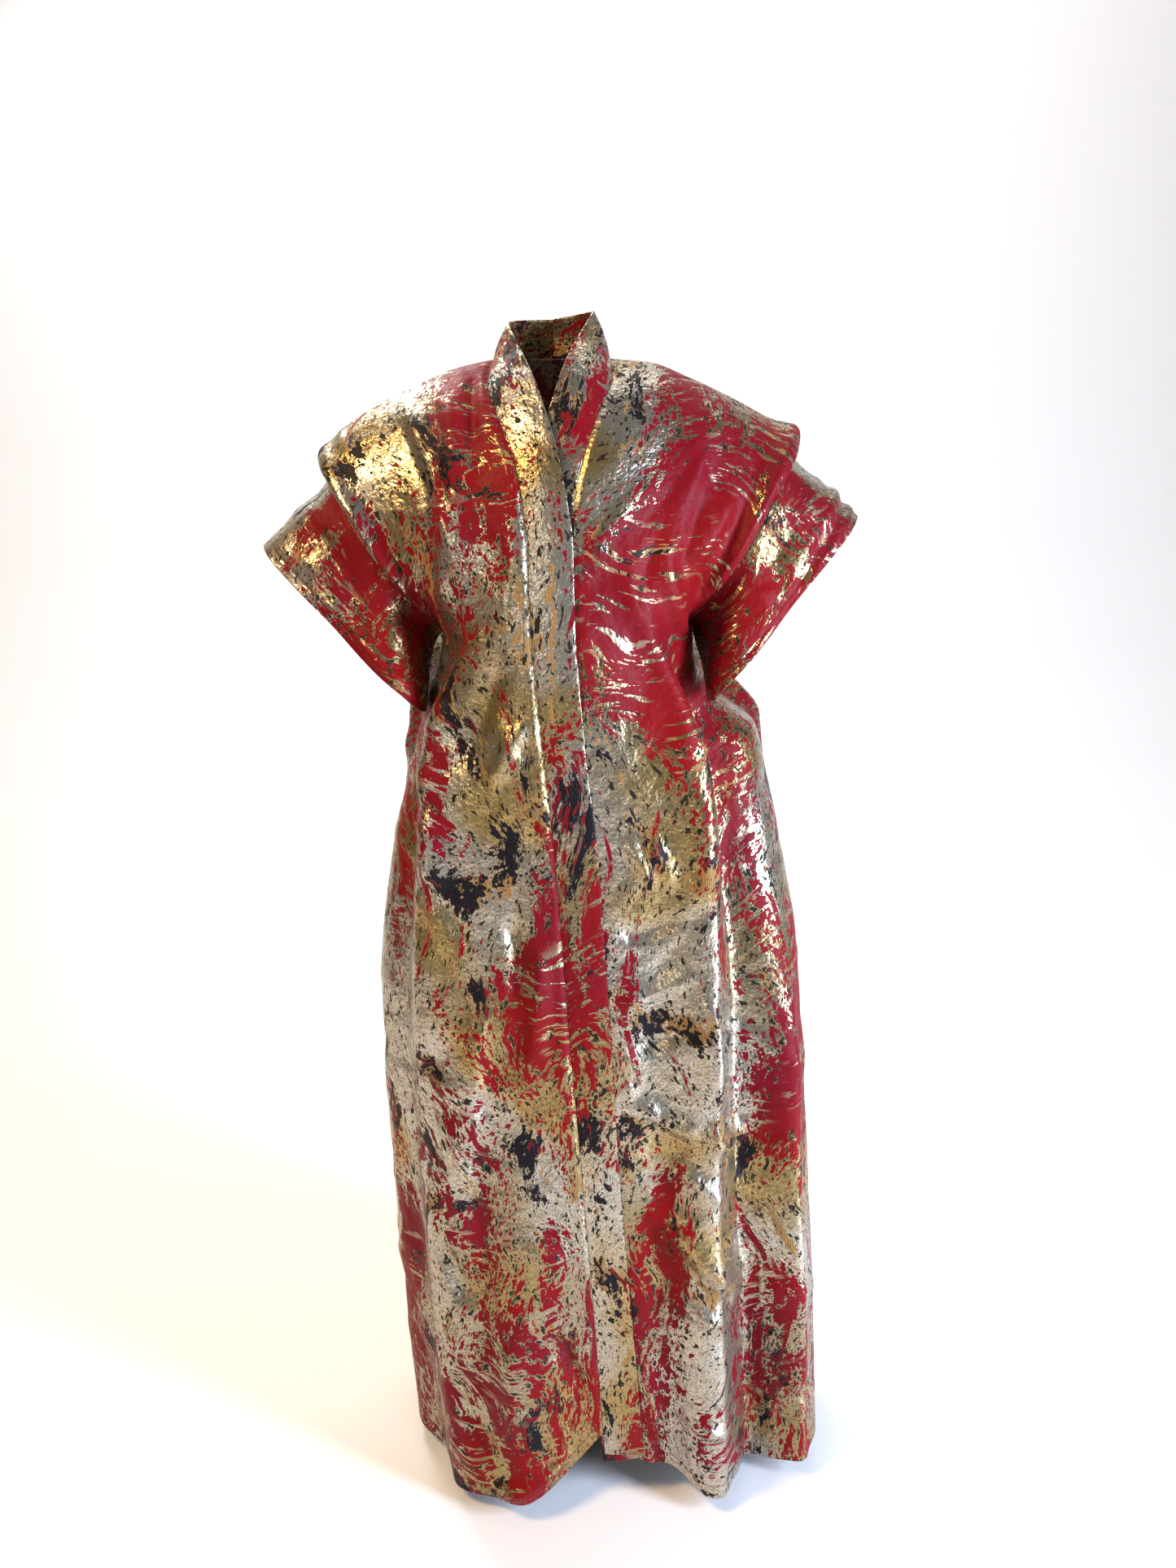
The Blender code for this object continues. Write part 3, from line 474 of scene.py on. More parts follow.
def add_node(tree, kind, settings=None, **inputs):
    """Add a node. Inputs are values or sockets of other nodes, by the input's name or _number."""
    node = tree.nodes.new(kind)
    for name, value in (settings or {}).items():
        setattr(node, name, value)
    for name, value in inputs.items():
        socket = node.inputs[int(name[1:])] if name[1:].isdigit() else node.inputs[name.replace("_", " ")]
        if isinstance(value, bpy.types.NodeSocket):
            tree.links.new(value, socket)
        else:
            socket.default_value = value
    return node


# How far the streaks drift off their line, in metres, and the size of each part of the design.
STREAK_DRIFT = 0.12
BROAD = 3.4
STREAKS = 15.0
TORN = 130.0
SLIVERS = 30.0
WAVY_LINES = 100.0
PATCHES = 17.0
ROOM = 11.0
# Leaf facets of 1.4 mm, crumples of 26 mm and pebbles of 4 mm.
FACETS = 700.0
CRUMPLES = 38.0
CRUMPLE_DEPTH = 0.005
PEBBLES = 260.0
PEBBLE_DEPTH = 0.0010
# A rib of the satin each 2.2 mm, several times the real one, so that it shows.
RIB_SCALE = 140.0
GOLD_FOIL = "#BBA168"
SILVER_FOIL = "#CBC4B4"
OLD_GOLD = "#9A875C"
FOIL_IN_SHADE = "#665B44"
FOIL_GAP = "#241C14"
CRIMSON = "#84040B"
WINE = "#72041A"
RIB_SHADE = "#4C0208"
TAN_WARP = "#7A5A33"
TAN_FACE = "#A07E4C"
BLACK = "#131116"
REVERSE_FLOATS = "#43161A"


def brocade(name, place, flow, red, reverse=False):
    """Metallic brocade: champagne foil and crimson satin in torn streaks, with black and tan.

    Place is where the piece is cut from the cloth, in metres, flow the angle of its streaks
    and red how much of it is satin. Noise scales are one over a size in metres. On the
    reverse the foil lies under dull floats.
    """
    material = bpy.data.materials.new(name)
    material.use_nodes = True
    tree = material.node_tree
    tree.nodes.clear()

    def math(operation, first, second=0.0, third=0.0):
        settings = {"operation": operation}
        return add_node(tree, "ShaderNodeMath", settings, _0=first, _1=second, _2=third).outputs[0]

    def noise(vector, scale, detail, roughness=0.55):
        return add_node(tree, "ShaderNodeTexNoise", {"noise_dimensions": "2D"}, Vector=vector, Scale=scale,
                        Detail=detail, Roughness=roughness)

    def cut(value, low, high):
        return add_node(tree, "ShaderNodeMapRange", {"interpolation_type": "SMOOTHSTEP"}, Value=value,
                        From_Min=low, From_Max=high).outputs["Result"]

    def stretch(vector, turn, across, along):
        return add_node(tree, "ShaderNodeMapping", None, Vector=vector, Rotation=(0.0, 0.0, turn),
                        Scale=(across, along, 1.0)).outputs["Vector"]

    def mix(share, first, second):
        settings = {"data_type": "RGBA"}
        return add_node(tree, "ShaderNodeMix", settings, _0=share, _6=first, _7=second).outputs[2]

    cloth = add_node(tree, "ShaderNodeUVMap", {"uv_map": "cloth"}).outputs["UV"]
    cut_from = add_node(tree, "ShaderNodeMapping", None, Vector=cloth,
                        Location=(*place, 0.0)).outputs["Vector"]
    slow = noise(cut_from, 5.0, 1.5).outputs["Color"]
    drift = add_node(tree, "ShaderNodeVectorMath", {"operation": "SUBTRACT"},
                     _0=slow, _1=(0.5, 0.5, 0.5)).outputs[0]
    waved = add_node(tree, "ShaderNodeVectorMath", {"operation": "MULTIPLY_ADD"},
                     _0=drift, _1=(STREAK_DRIFT, STREAK_DRIFT, 0.0), _2=cut_from).outputs[0]
    tone = add_node(tree, "ShaderNodeSeparateColor", None, _0=slow).outputs[2]

    # Torn streaks that follow the flow: where they are low the cloth is satin, elsewhere foil.
    broad = noise(stretch(waved, 0.7 * flow, 1.0, 0.55), BROAD, 1.0).outputs["Fac"]
    streaks = noise(stretch(waved, flow, 1.0, 0.30), STREAKS, 5.0, 0.68).outputs["Fac"]
    torn = noise(stretch(waved, 1.3 * flow, 1.0, 0.55), TORN, 3.0, 0.66).outputs["Fac"]
    field = math("MULTIPLY_ADD", math("SUBTRACT", broad, 0.5), 0.95, streaks)
    field = math("MULTIPLY_ADD", math("SUBTRACT", torn, 0.5), 0.74, field)
    satin = cut(field, red + 0.006, red - 0.006)

    # Long thin slivers of satin, and thin wavy lines of foil over the broad satin.
    sliver = noise(stretch(waved, flow + 0.2, 1.0, 0.13), SLIVERS, 2.0, 0.5).outputs["Fac"]
    sliver = math("MULTIPLY_ADD", math("SUBTRACT", torn, 0.5), 0.10, sliver)
    satin = math("MAXIMUM", satin, math("MULTIPLY", cut(sliver, 0.655, 0.667), cut(field, 0.75, 0.60)))
    line_noise = noise(stretch(waved, 0.10, 0.22, 1.0), WAVY_LINES, 3.0, 0.68).outputs["Fac"]
    room = noise(cut_from, ROOM, 1.0).outputs["Fac"]
    line = math("MULTIPLY", cut(line_noise, 0.575, 0.590), cut(room, 0.42, 0.52))
    satin = math("MULTIPLY", satin, math("SUBTRACT", 1.0, line))

    # Black patches with pale specks, and tan satin beside them.
    dark = noise(stretch(waved, flow - 0.35, 1.0, 0.55), PATCHES, 4.0, 0.66).outputs["Fac"]
    dark = math("MULTIPLY_ADD", math("SUBTRACT", torn, 0.5), -0.45, dark)
    away = math("SUBTRACT", 1.0, satin)
    black = math("MULTIPLY", cut(dark, 0.610, 0.622), away)
    tan_field = math("MULTIPLY_ADD", math("SUBTRACT", room, 0.5), 0.40, dark)
    worn = math("MULTIPLY_ADD", math("SUBTRACT", torn, 0.5), 0.40, sliver)
    tan = math("MAXIMUM", cut(tan_field, 0.618, 0.630), cut(worn, 0.292, 0.276))
    tan = math("MULTIPLY", tan, math("SUBTRACT", away, black))

    # Foil is pebbled like crumpled leaf, with small dark gaps. Each facet is darkened at random towards the
    # foil's shade colour, a painted shade and glint of facets that catch the light or not, and the same value
    # roughens it.
    facet = add_node(tree, "ShaderNodeTexVoronoi", {"feature": "F1", "voronoi_dimensions": "2D"},
                     Vector=cut_from, Scale=FACETS).outputs["Color"]
    facet_shade_and_roughness = add_node(tree, "ShaderNodeSeparateColor", None, _0=facet).outputs[0]
    gap = math("MULTIPLY", cut(torn, 0.610, 0.630), away)
    foil = mix(cut(tone, 0.36, 0.56), linear(GOLD_FOIL), linear(SILVER_FOIL))
    foil = mix(math("MULTIPLY", cut(broad, 0.60, 0.44), 0.7), foil, linear(OLD_GOLD))
    # Painted shade and glint: each leaf facet is darkened by its own amount towards the foil in shade.
    foil = mix(math("MULTIPLY", facet_shade_and_roughness, 0.65), foil, linear(FOIL_IN_SHADE))
    foil = mix(gap, foil, linear(FOIL_GAP))

    # Satin has fine upright ribs, drawn in colour only: the crimson is darkened between them by a painted
    # shade, and the camel goes from its warp colour between them to its face colour.
    ribs = add_node(tree, "ShaderNodeTexWave", {"wave_type": "BANDS", "bands_direction": "X"},
                    Vector=cut_from, Scale=RIB_SCALE).outputs["Fac"]
    crimson = mix(math("MULTIPLY", cut(tone, 0.38, 0.62), 0.7), linear(CRIMSON), linear(WINE))
    # Painted shade between the ribs of the crimson satin.
    crimson = mix(math("MULTIPLY", ribs, 0.5), crimson, linear(RIB_SHADE))
    camel = mix(ribs, linear(TAN_WARP), linear(TAN_FACE))
    colour = mix(satin, foil, crimson)
    colour = mix(tan, colour, camel)
    colour = mix(black, colour, linear(BLACK))
    if reverse:
        colour = mix(0.6, colour, linear(REVERSE_FLOATS))

    bare = math("MAXIMUM", math("MAXIMUM", satin, black), math("MAXIMUM", tan, gap))
    shine = math("MULTIPLY", math("SUBTRACT", 1.0, bare), 0.3 if reverse else 1.0)
    rough = math("MULTIPLY_ADD", bare, 0.22, math("MULTIPLY_ADD", facet_shade_and_roughness, 0.16, 0.25))
    crumple = noise(cut_from, CRUMPLES, 2.0).outputs["Fac"]
    pebble = noise(cut_from, PEBBLES, 1.0).outputs["Fac"]
    soft = add_node(tree, "ShaderNodeBump", None, Strength=0.6, Distance=CRUMPLE_DEPTH,
                    Height=crumple).outputs["Normal"]
    leaf = add_node(tree, "ShaderNodeBump", None, Strength=math("MULTIPLY", shine, 0.6),
                    Distance=PEBBLE_DEPTH, Height=pebble, Normal=soft).outputs["Normal"]
    surface = add_node(tree, "ShaderNodeBsdfPrincipled", None, Base_Color=colour,
                       Metallic=math("MULTIPLY", shine, 0.92), Roughness=rough, Normal=leaf)
    surface.inputs["Specular IOR Level"].default_value = 0.14
    surface.inputs["Sheen Weight"].default_value = 0.03
    surface.inputs["Sheen Roughness"].default_value = 0.4
    output = add_node(tree, "ShaderNodeOutputMaterial")
    tree.links.new(surface.outputs["BSDF"], output.inputs["Surface"])
    return material


def above_edge(points):
    """Length of cloth from the lower edge up to each point of a grid."""
    above = np.linalg.norm(np.diff(points, axis=0), axis=2)[::-1].cumsum(axis=0)[::-1]
    return np.pad(above, ((0, 1), (0, 0)))


def turned_in(points, turn):
    """Thickness of the wall: double where the lower edge is turned in."""
    doubled = 1.0 - smooth_step(turn - TURN_EDGE, turn + TURN_EDGE, above_edge(points))
    return WALL * (1.0 + doubled)[:, :, None]


def stitch_groove(points, at):
    """How deep a row of stitches draws the cloth in, at a height above its lower edge."""
    return -GROOVE_DEPTH * np.exp(-(((above_edge(points) - at) / GROOVE_WIDTH) ** 2))


def stitches(name, points, normals, at):
    """A row of thread stitches on the cloth, at a height above its lower edge, as one mesh."""
    above = above_edge(points)
    raised = points + normals * THREAD_SINK
    line = np.array([
        [np.interp(at, above[::-1, column], raised[::-1, column, axis]) for axis in range(3)]
        for column in range(points.shape[1])
    ])
    count = int(np.linalg.norm(np.diff(line, axis=0), axis=1).sum() / STITCH_STEP)
    numbers = np.arange(count) + 0.5
    starts = even_out(line, (numbers - 0.5 * STITCH_SHARE) / count)
    ends = even_out(line, (numbers + 0.5 * STITCH_SHARE) / count)
    shape = bmesh.new()
    for start, end in zip(starts, ends):
        run = Vector(end - start)
        turn = run.to_track_quat("Z", "Y").to_matrix().to_4x4()
        place = Matrix.Translation(0.5 * (start + end)) @ turn
        bmesh.ops.create_cone(shape, cap_ends=True, segments=8, radius1=THREAD_RADIUS,
                              radius2=THREAD_RADIUS, depth=run.length, matrix=place)
    mesh = bpy.data.meshes.new(name)
    shape.to_mesh(mesh)
    shape.free()
    thread = bpy.data.objects.new(name, mesh)
    bpy.context.scene.collection.objects.link(thread)
    mesh.materials.append(thread_material(name + " polyester"))
    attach(thread, "root")
    return thread


def thread_material(name):
    """Dark crimson sewing thread: soft shine, twisted strands and a slightly uneven dye."""
    material = bpy.data.materials.new(name)
    material.use_nodes = True
    tree = material.node_tree
    where = add_node(tree, "ShaderNodeTexCoord").outputs["Object"]
    strands = add_node(tree, "ShaderNodeTexWave", {"bands_direction": "DIAGONAL"}, Vector=where, Scale=900.0)
    dye = add_node(tree, "ShaderNodeTexNoise", None, Vector=where, Scale=60.0, Detail=2.0).outputs["Fac"]
    colour = add_node(tree, "ShaderNodeMix", {"data_type": "RGBA"}, _0=dye, _6=linear("#4E0710"),
                      _7=linear("#8C1420")).outputs[2]
    twist = add_node(tree, "ShaderNodeBump", None, Strength=0.5, Distance=0.0001,
                     Height=strands.outputs["Fac"]).outputs["Normal"]
    surface = tree.nodes["Principled BSDF"]
    surface.inputs["Roughness"].default_value = 0.42
    tree.links.new(colour, surface.inputs["Base Color"])
    tree.links.new(twist, surface.inputs["Normal"])
    return material


cap_parts = np.linspace(0.0, 1.0, CAP_ROWS)
fall_parts = np.concatenate([
    np.linspace(0.0, HEM_SHARE, FALL_ROWS),
    np.linspace(HEM_SHARE, 1.0, HEM_ROWS)[1:],
])
seam_parts = np.concatenate([cap_parts, 1.0 + fall_parts[1:]])

half = np.concatenate([
    np.linspace(0.0, NECK_SHARE, BACK_NECK_COLUMNS + 1),
    np.linspace(NECK_SHARE, 1.0, BACK_SIDE_COLUMNS + 1)[1:],
])
back_places = np.concatenate([-half[::-1], half[1:]])
middle = len(half) - 1
halves = {side: back_half(side, half, cap_parts, fall_parts) for side in SIGN}
back_base = np.concatenate([halves["right"][:, ::-1], halves["left"][:, 1:]], axis=1)
back_height = fold_heights(BACK_FOLDS, back_base, back_places)
back_height += crease_heights(BACK_CREASES, back_base)
back_height += crease_heights(small_creases(*SMALL_OF_BACK), back_base)
back_height *= hold_edges(back_places, BACK_HOLD, BACK_HOLD)
back_height += sleeve_roll(back_base, back_places) * hold_edges(back_places, ROLL_HOLD, ROLL_HOLD)
back_height += stitch_groove(back_base, HEM_STITCH)
back_points = raise_cloth(back_base, back_height, seam_parts, False)
back_normals = grid_normals(back_points, False)
back_lean = np.where(np.abs(back_places) <= NECK_SHARE, NECK_LEAN, 0.0)
back_seams = {"top": back_lean, "first": SIDE_LEAN, "last": SIDE_LEAN}
back = cloth_piece("cloth_back", back_points, back_normals, cloth_lengths(back_base, CAP_ROWS, middle),
                   turned_in(back_points, HEM_TURN), back_seams)
back.data.materials.append(brocade("Brocade of the back", *BROCADE_OF_BACK))
back.data.materials.append(brocade("Reverse of the back", *BROCADE_OF_BACK, reverse=True))
back_thread = stitches("thread_hem_back", back_points, back_normals, HEM_STITCH)
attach(back, "root")
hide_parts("back")


# Fronts. Each is one piece of the same brocade from the shoulder to the floor. The right one laps
# over the left one. The cloth pulls from the underarms to the middle and falls in drag folds,
# and each is sewn to the back at the shoulder and the side, to its sleeve and to its band.

FRONT_COLUMNS = 108
EDGE_COLUMNS = 14
EDGE_SHARE = 0.05
SEAM_DIP = 0.0028
SEAM_ROLL = 0.0045
FRONT_EDGE_COLUMNS = ("z", "right_seam_x", "right_edge_x", "y")
FRONT_EDGE = (
    (-0.205, -0.034, 0.017, -0.163),
    (-0.290, -0.035, 0.016, -0.171),
    (-0.415, -0.028, 0.021, -0.174),
    (-0.590, -0.017, 0.034, -0.175),
    (-0.800, -0.009, 0.041, -0.180),
    (-0.970, -0.001, 0.046, -0.186),
    (-1.155, 0.007, 0.055, -0.191),
    (-1.300, 0.012, 0.063, -0.193),
    (-1.440, 0.018, 0.069, -0.194),
)
UNDER_LAP = 0.007
LAP_DEPTH = 0.0040
# The band's seam leans in at the neck, and stands square below the lower of these heights.
NECK_EASE = (-0.20, -0.04)
FRONT_HOLD = (0.10, 0.12)
SMALL_OF_FRONTS = {
    "right": (44, 150, (-280.0, 0.0, -1430.0, -60.0), -0.5),
    "left": (44, 150, (0.0, 300.0, -1430.0, -60.0), 0.5),
}
PUCKER_SEEDS = {"right": 58, "left": 57}
PUCKER_COUNT = 46
PUCKER_LENGTHS = (14.0, 34.0)
PUCKER_WIDTHS = (3.0, 6.0)
PUCKER_HEIGHTS = (0.6, 1.6)
PUCKER_RISE = 0.5
PUCKER_START = 0.3
FRONT_FOLDS = {
    "right": (
        (-0.03, -0.30, 0.40, 0.34, 0.10, 0.05, 0.007, 0.05, 0.10),
        (-0.34, -1.60, 0.52, 0.50, 0.16, 0.06, 0.017, 0.16, 0.10),
        (-0.40, -1.60, 0.70, 0.68, 0.09, 0.12, -0.020, 0.18, 0.10),
        (-0.75, -1.60, 0.36, 0.38, 0.06, 0.05, -0.008, 0.25, 0.10),
        (-0.85, -1.60, 0.20, 0.30, 0.12, 0.16, 0.030, 0.60, 0.10),
    ),
    "left": (
        (-0.04, -0.30, 0.52, 0.46, 0.08, 0.06, 0.006, 0.06, 0.10),
        (-0.30, -1.60, 0.40, 0.36, 0.12, 0.045, 0.020, 0.14, 0.10),
        (-0.33, -1.60, 0.54, 0.53, 0.07, 0.13, -0.038, 0.12, 0.10),
        (-0.70, -1.60, 0.74, 0.76, 0.06, 0.05, 0.014, 0.20, 0.10),
        (-0.60, -1.60, 0.20, 0.14, 0.07, 0.07, -0.007, 0.30, 0.10),
        (-0.95, -1.60, 0.26, 0.30, 0.10, 0.10, 0.022, 0.50, 0.10),
    ),
}
FRONT_CREASES = {
    "right": (
        (-92, -2, -99, -50, -95, -106, 8, 12, -8),
        (-123, -19, -114, -105, -109, -177, 10, 14, 9),
        (-136, -140, -120, -212, -140, -289, 10, 18, 10),
        (-82, -285, -121, -363, -159, -433, 12, 20, 12),
        (-67, -322, -98, -398, -131, -474, 10, 16, -9),
        (-128, -373, -161, -449, -159, -513, 16, 10, 12),
        (-40, -396, -70, -434, -93, -492, 8, 12, 8),
        (-152, -498, -165, -568, -156, -612, 10, 14, 12),
        (-162, -612, -140, -642, -125, -682, 8, 10, -8),
        (-38, -652, -35, -745, -71, -861, 10, 16, 9),
        (-80, -631, -64, -692, -75, -765, 9, 12, -8),
        (-104, -713, -132, -852, -151, -1040, 22, 12, 12),
        (-162, -766, -184, -875, -201, -1029, 14, 20, -12),
        (-14, -756, -16, -862, -17, -982, 8, 8, 4),
        (-179, -1061, -167, -1123, -142, -1169, 10, 14, -12),
        (-219, -1161, -238, -1226, -236, -1290, 10, 12, 12),
        (-80, -1066, -50, -1085, -20, -1094, 8, 10, 8),
        (-49, -1193, -13, -1246, -15, -1299, 8, 12, -10),
        (-107, -1201, -88, -1255, -101, -1350, 14, 18, 12),
        (-151, -1425, -80, -1414, -17, -1369, 16, 12, 12),
        (-174, -1249, -151, -1317, -138, -1388, 12, 16, -9),
    ),
    "left": (
        (116, -213, 140, -298, 164, -405, 16, 9, 12),
        (68, -234, 100, -313, 144, -471, 12, 22, 12),
        (212, -233, 187, -245, 157, -284, 14, 10, -9),
        (175, -409, 155, -408, 126, -382, 6, 8, -8),
        (208, -151, 183, -196, 149, -241, 20, 12, 10),
        (148, -473, 155, -579, 151, -649, 12, 20, 10),
        (156, -725, 165, -814, 172, -906, 20, 10, 12),
        (155, -899, 190, -999, 231, -933, 10, 16, 12),
        (66, -881, 110, -921, 149, -932, 9, 14, 10),
        (99, -950, 164, -1008, 261, -1068, 12, 20, 12),
        (34, -753, 96, -755, 147, -712, 8, 14, 8),
        (43, -666, 93, -679, 142, -639, 8, 14, -8),
        (42, -812, 90, -827, 136, -785, 8, 14, -8),
        (61, -550, 86, -579, 100, -614, 7, 12, 9),
        (87, -548, 110, -579, 120, -619, 7, 12, 8),
        (113, -949, 166, -999, 250, -1078, 10, 16, -10),
        (71, -1016, 126, -1078, 238, -1195, 14, 24, 12),
        (89, -1136, 129, -1167, 174, -1190, 10, 14, 9),
        (168, -1142, 188, -1200, 201, -1253, 6, 10, -8),
        (292, -1310, 266, -1345, 251, -1390, 12, 16, -12),
        (110, -1324, 160, -1333, 234, -1371, 8, 12, 8),
    ),
}
BROCADE_OF_FRONTS = {"right": ((6.6, 7.2), -0.75, 0.475), "left": ((1.9, 5.5), 0.75, 0.475)}


def straight_x(side, part, z):
    """Where a band's seam or free edge runs, below the neck."""
    seam = read(FRONT_EDGE, FRONT_EDGE_COLUMNS, "z", "right_seam_x", z)
    edge = read(FRONT_EDGE, FRONT_EDGE_COLUMNS, "z", "right_edge_x", z)
    if side == "right":
        return seam if part == "seam" else edge
    return edge - UNDER_LAP if part == "seam" else seam - 0.5 * UNDER_LAP


def straight_y(side, z):
    """Depth of the front edge below the neck. The left side lies under the right one."""
    y = read(FRONT_EDGE, FRONT_EDGE_COLUMNS, "z", "y", z)
    return y if side == "right" else y + LAP_DEPTH


def front_seam(side, z):
    """Points of the seam between a front and its band, at heights below the neck."""
    z = np.asarray(z, dtype=float)
    neck = neck_route(side, np.linspace(SHOULDER_ROW, len(NECKS[side]) - 1, FINE), "seam")[::-1]
    straight = z < FRONT_EDGE[0][0]
    x = np.where(straight, straight_x(side, "seam", z), np.interp(z, neck[:, 2], neck[:, 0]))
    y = np.where(straight, straight_y(side, z), np.interp(z, neck[:, 2], neck[:, 1]))
    return np.stack([x, y, z], axis=-1)


def front_base(side, places):
    """A front without folds: rows from the shoulder seam to the hem, band to side."""
    def plan(z):
        return front_seam(side, z)[:2], side_point(side, z), float(read(SIDE, SIDE_COLUMNS, "z", "square", z))

    ends = quarter_row(*plan(UNDERARM_Z), places)
    ends[:, 2] = UNDERARM_Z
    cap = cap_paths(shoulder_line(side, places), ends, cap_parts)
    route = front_seam(side, cap[:, 0, 2])
    cap += (route - cap[:, 0])[:, None, :] * ((1.0 - places) ** 2)[None, :, None]
    hole = armhole_edge(side, "front", cap_parts)
    cap += (hole - cap[:, -1])[:, None, :] * (places ** 2)[None, :, None]
    hem = read(HEM, HEM_COLUMNS, "part", side + "_z", places)
    return np.concatenate([cap, hanging_rows(plan, hem, places, fall_parts[1:])])


def puckers(side, seam):
    """Short creases in mm that cross a front beside the seam of its band."""
    chance = np.random.default_rng(PUCKER_SEEDS[side])
    rows = []
    for number in range(PUCKER_COUNT):
        x, _, z = 1000.0 * seam[chance.integers(CAP_ROWS // 2, len(seam) - HEM_ROWS)]
        length = SIGN[side] * chance.uniform(*PUCKER_LENGTHS)
        rise = chance.uniform(-PUCKER_RISE, PUCKER_RISE) * length
        width = chance.uniform(*PUCKER_WIDTHS)
        height = chance.uniform(*PUCKER_HEIGHTS) * chance.choice((-1.0, 1.0))
        within = PUCKER_START * length
        middle = (x + within, z + PUCKER_START * rise)
        rows.append((x - within, z, *middle, x + length, z + rise, width, width, height))
    return rows


front_places = np.concatenate([
    np.linspace(0.0, EDGE_SHARE, EDGE_COLUMNS + 1),
    np.linspace(EDGE_SHARE, 1.0, FRONT_COLUMNS + 1)[1:],
])
front_points = {}
for side, creases in FRONT_CREASES.items():
    base = front_base(side, front_places)
    height = fold_heights(FRONT_FOLDS[side], base, front_places)
    height += crease_heights(creases, base)
    height += crease_heights(small_creases(*SMALL_OF_FRONTS[side]), base)
    height *= hold_edges(front_places, *FRONT_HOLD)
    height += crease_heights(puckers(side, base[:, 0]), base) * front_places ** 0.25
    height += sleeve_roll(base, front_places) * hold_edges(front_places, FRONT_HOLD[0], ROLL_HOLD)
    height += stitch_groove(base, HEM_STITCH)
    seam_room = cloth_lengths(base, CAP_ROWS, 0)[:, :, 0]
    height -= SEAM_DIP * np.exp(-((seam_room / SEAM_ROLL) ** 2))
    turned = side == "left"
    points = raise_cloth(base, height, seam_parts, turned)
    front_points[side] = points
    band_lean = NECK_LEAN * smooth_step(*NECK_EASE, points[:, 0, 2])
    normals = grid_normals(points, turned)
    front_seams = {"top": 0.0, "first": band_lean, "last": SIDE_LEAN}
    front = cloth_piece("cloth_front_" + side, points, normals, cloth_lengths(base, CAP_ROWS, 0),
                        turned_in(points, HEM_TURN), front_seams)
    cut = BROCADE_OF_FRONTS[side]
    front.data.materials.append(brocade("Brocade of the front, " + side, *cut))
    front.data.materials.append(brocade("Reverse of the front, " + side, *cut, reverse=True))
    thread = stitches("thread_hem_" + side, points, normals, HEM_STITCH)
    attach(front, "root")
    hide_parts("front_" + side)


# Sleeves. Each is a short square tube of the same brocade, open at the cuff, where its edge is
# turned in and stitched. It is sewn into the armhole, hangs from its upper edge and flattens.

SLEEVE_RINGS = 46
CUFF_COLUMNS = ("top_x", "top_y", "top_z", "low_x", "low_y", "low_z", "front", "back")
CUFFS = {
    "right": (0.366, -0.004, -0.198, 0.171, -0.062, -0.402, 0.066, 0.072),
    "left": (0.368, -0.004, -0.188, 0.173, -0.068, -0.402, 0.064, 0.070),
}
SLEEVE_FOLD_COLUMNS = ("turn_head", "turn_cuff", "width", "height")
SLEEVE_FOLDS = (
    (0.12, 0.10, 0.050, 0.006),
    (0.27, 0.24, 0.055, -0.010),
    (0.40, 0.37, 0.050, 0.008),
    (0.62, 0.60, 0.060, 0.008),
    (0.75, 0.74, 0.055, -0.009),
    (0.88, 0.88, 0.050, 0.006),
)
UNDERARM_OUT = 0.010
UNDERARM_FORWARD = 0.020
CUFF_TURN = 0.015
CUFF_STITCH = 0.012
CUFF_RINGS = 22
CUFF_SHARE = 0.86
SMALL_OF_SLEEVES = {
    "right": (41, 40, (-370.0, -150.0, -400.0, -110.0), -0.6),
    "left": (41, 40, (150.0, 370.0, -400.0, -110.0), 0.6),
}
SLEEVE_FOLD_RISE = 0.5
SMALL_RISE = (0.05, 0.3)
CUFF_HOLD = 0.12
BROCADE_OF_SLEEVES = {"right": ((8.3, 0.6), 0.60, 0.51), "left": ((2.7, 6.4), -0.70, 0.50)}


def tube_normals(grid):
    """Normals of a closed tube of rings, pointing out."""
    around = np.roll(grid, -1, axis=1) - np.roll(grid, 1, axis=1)
    normals = unit(np.cross(around, np.gradient(grid, axis=0)))
    return normals * np.sign(np.sum(normals * (grid - grid.mean(axis=1, keepdims=True))))


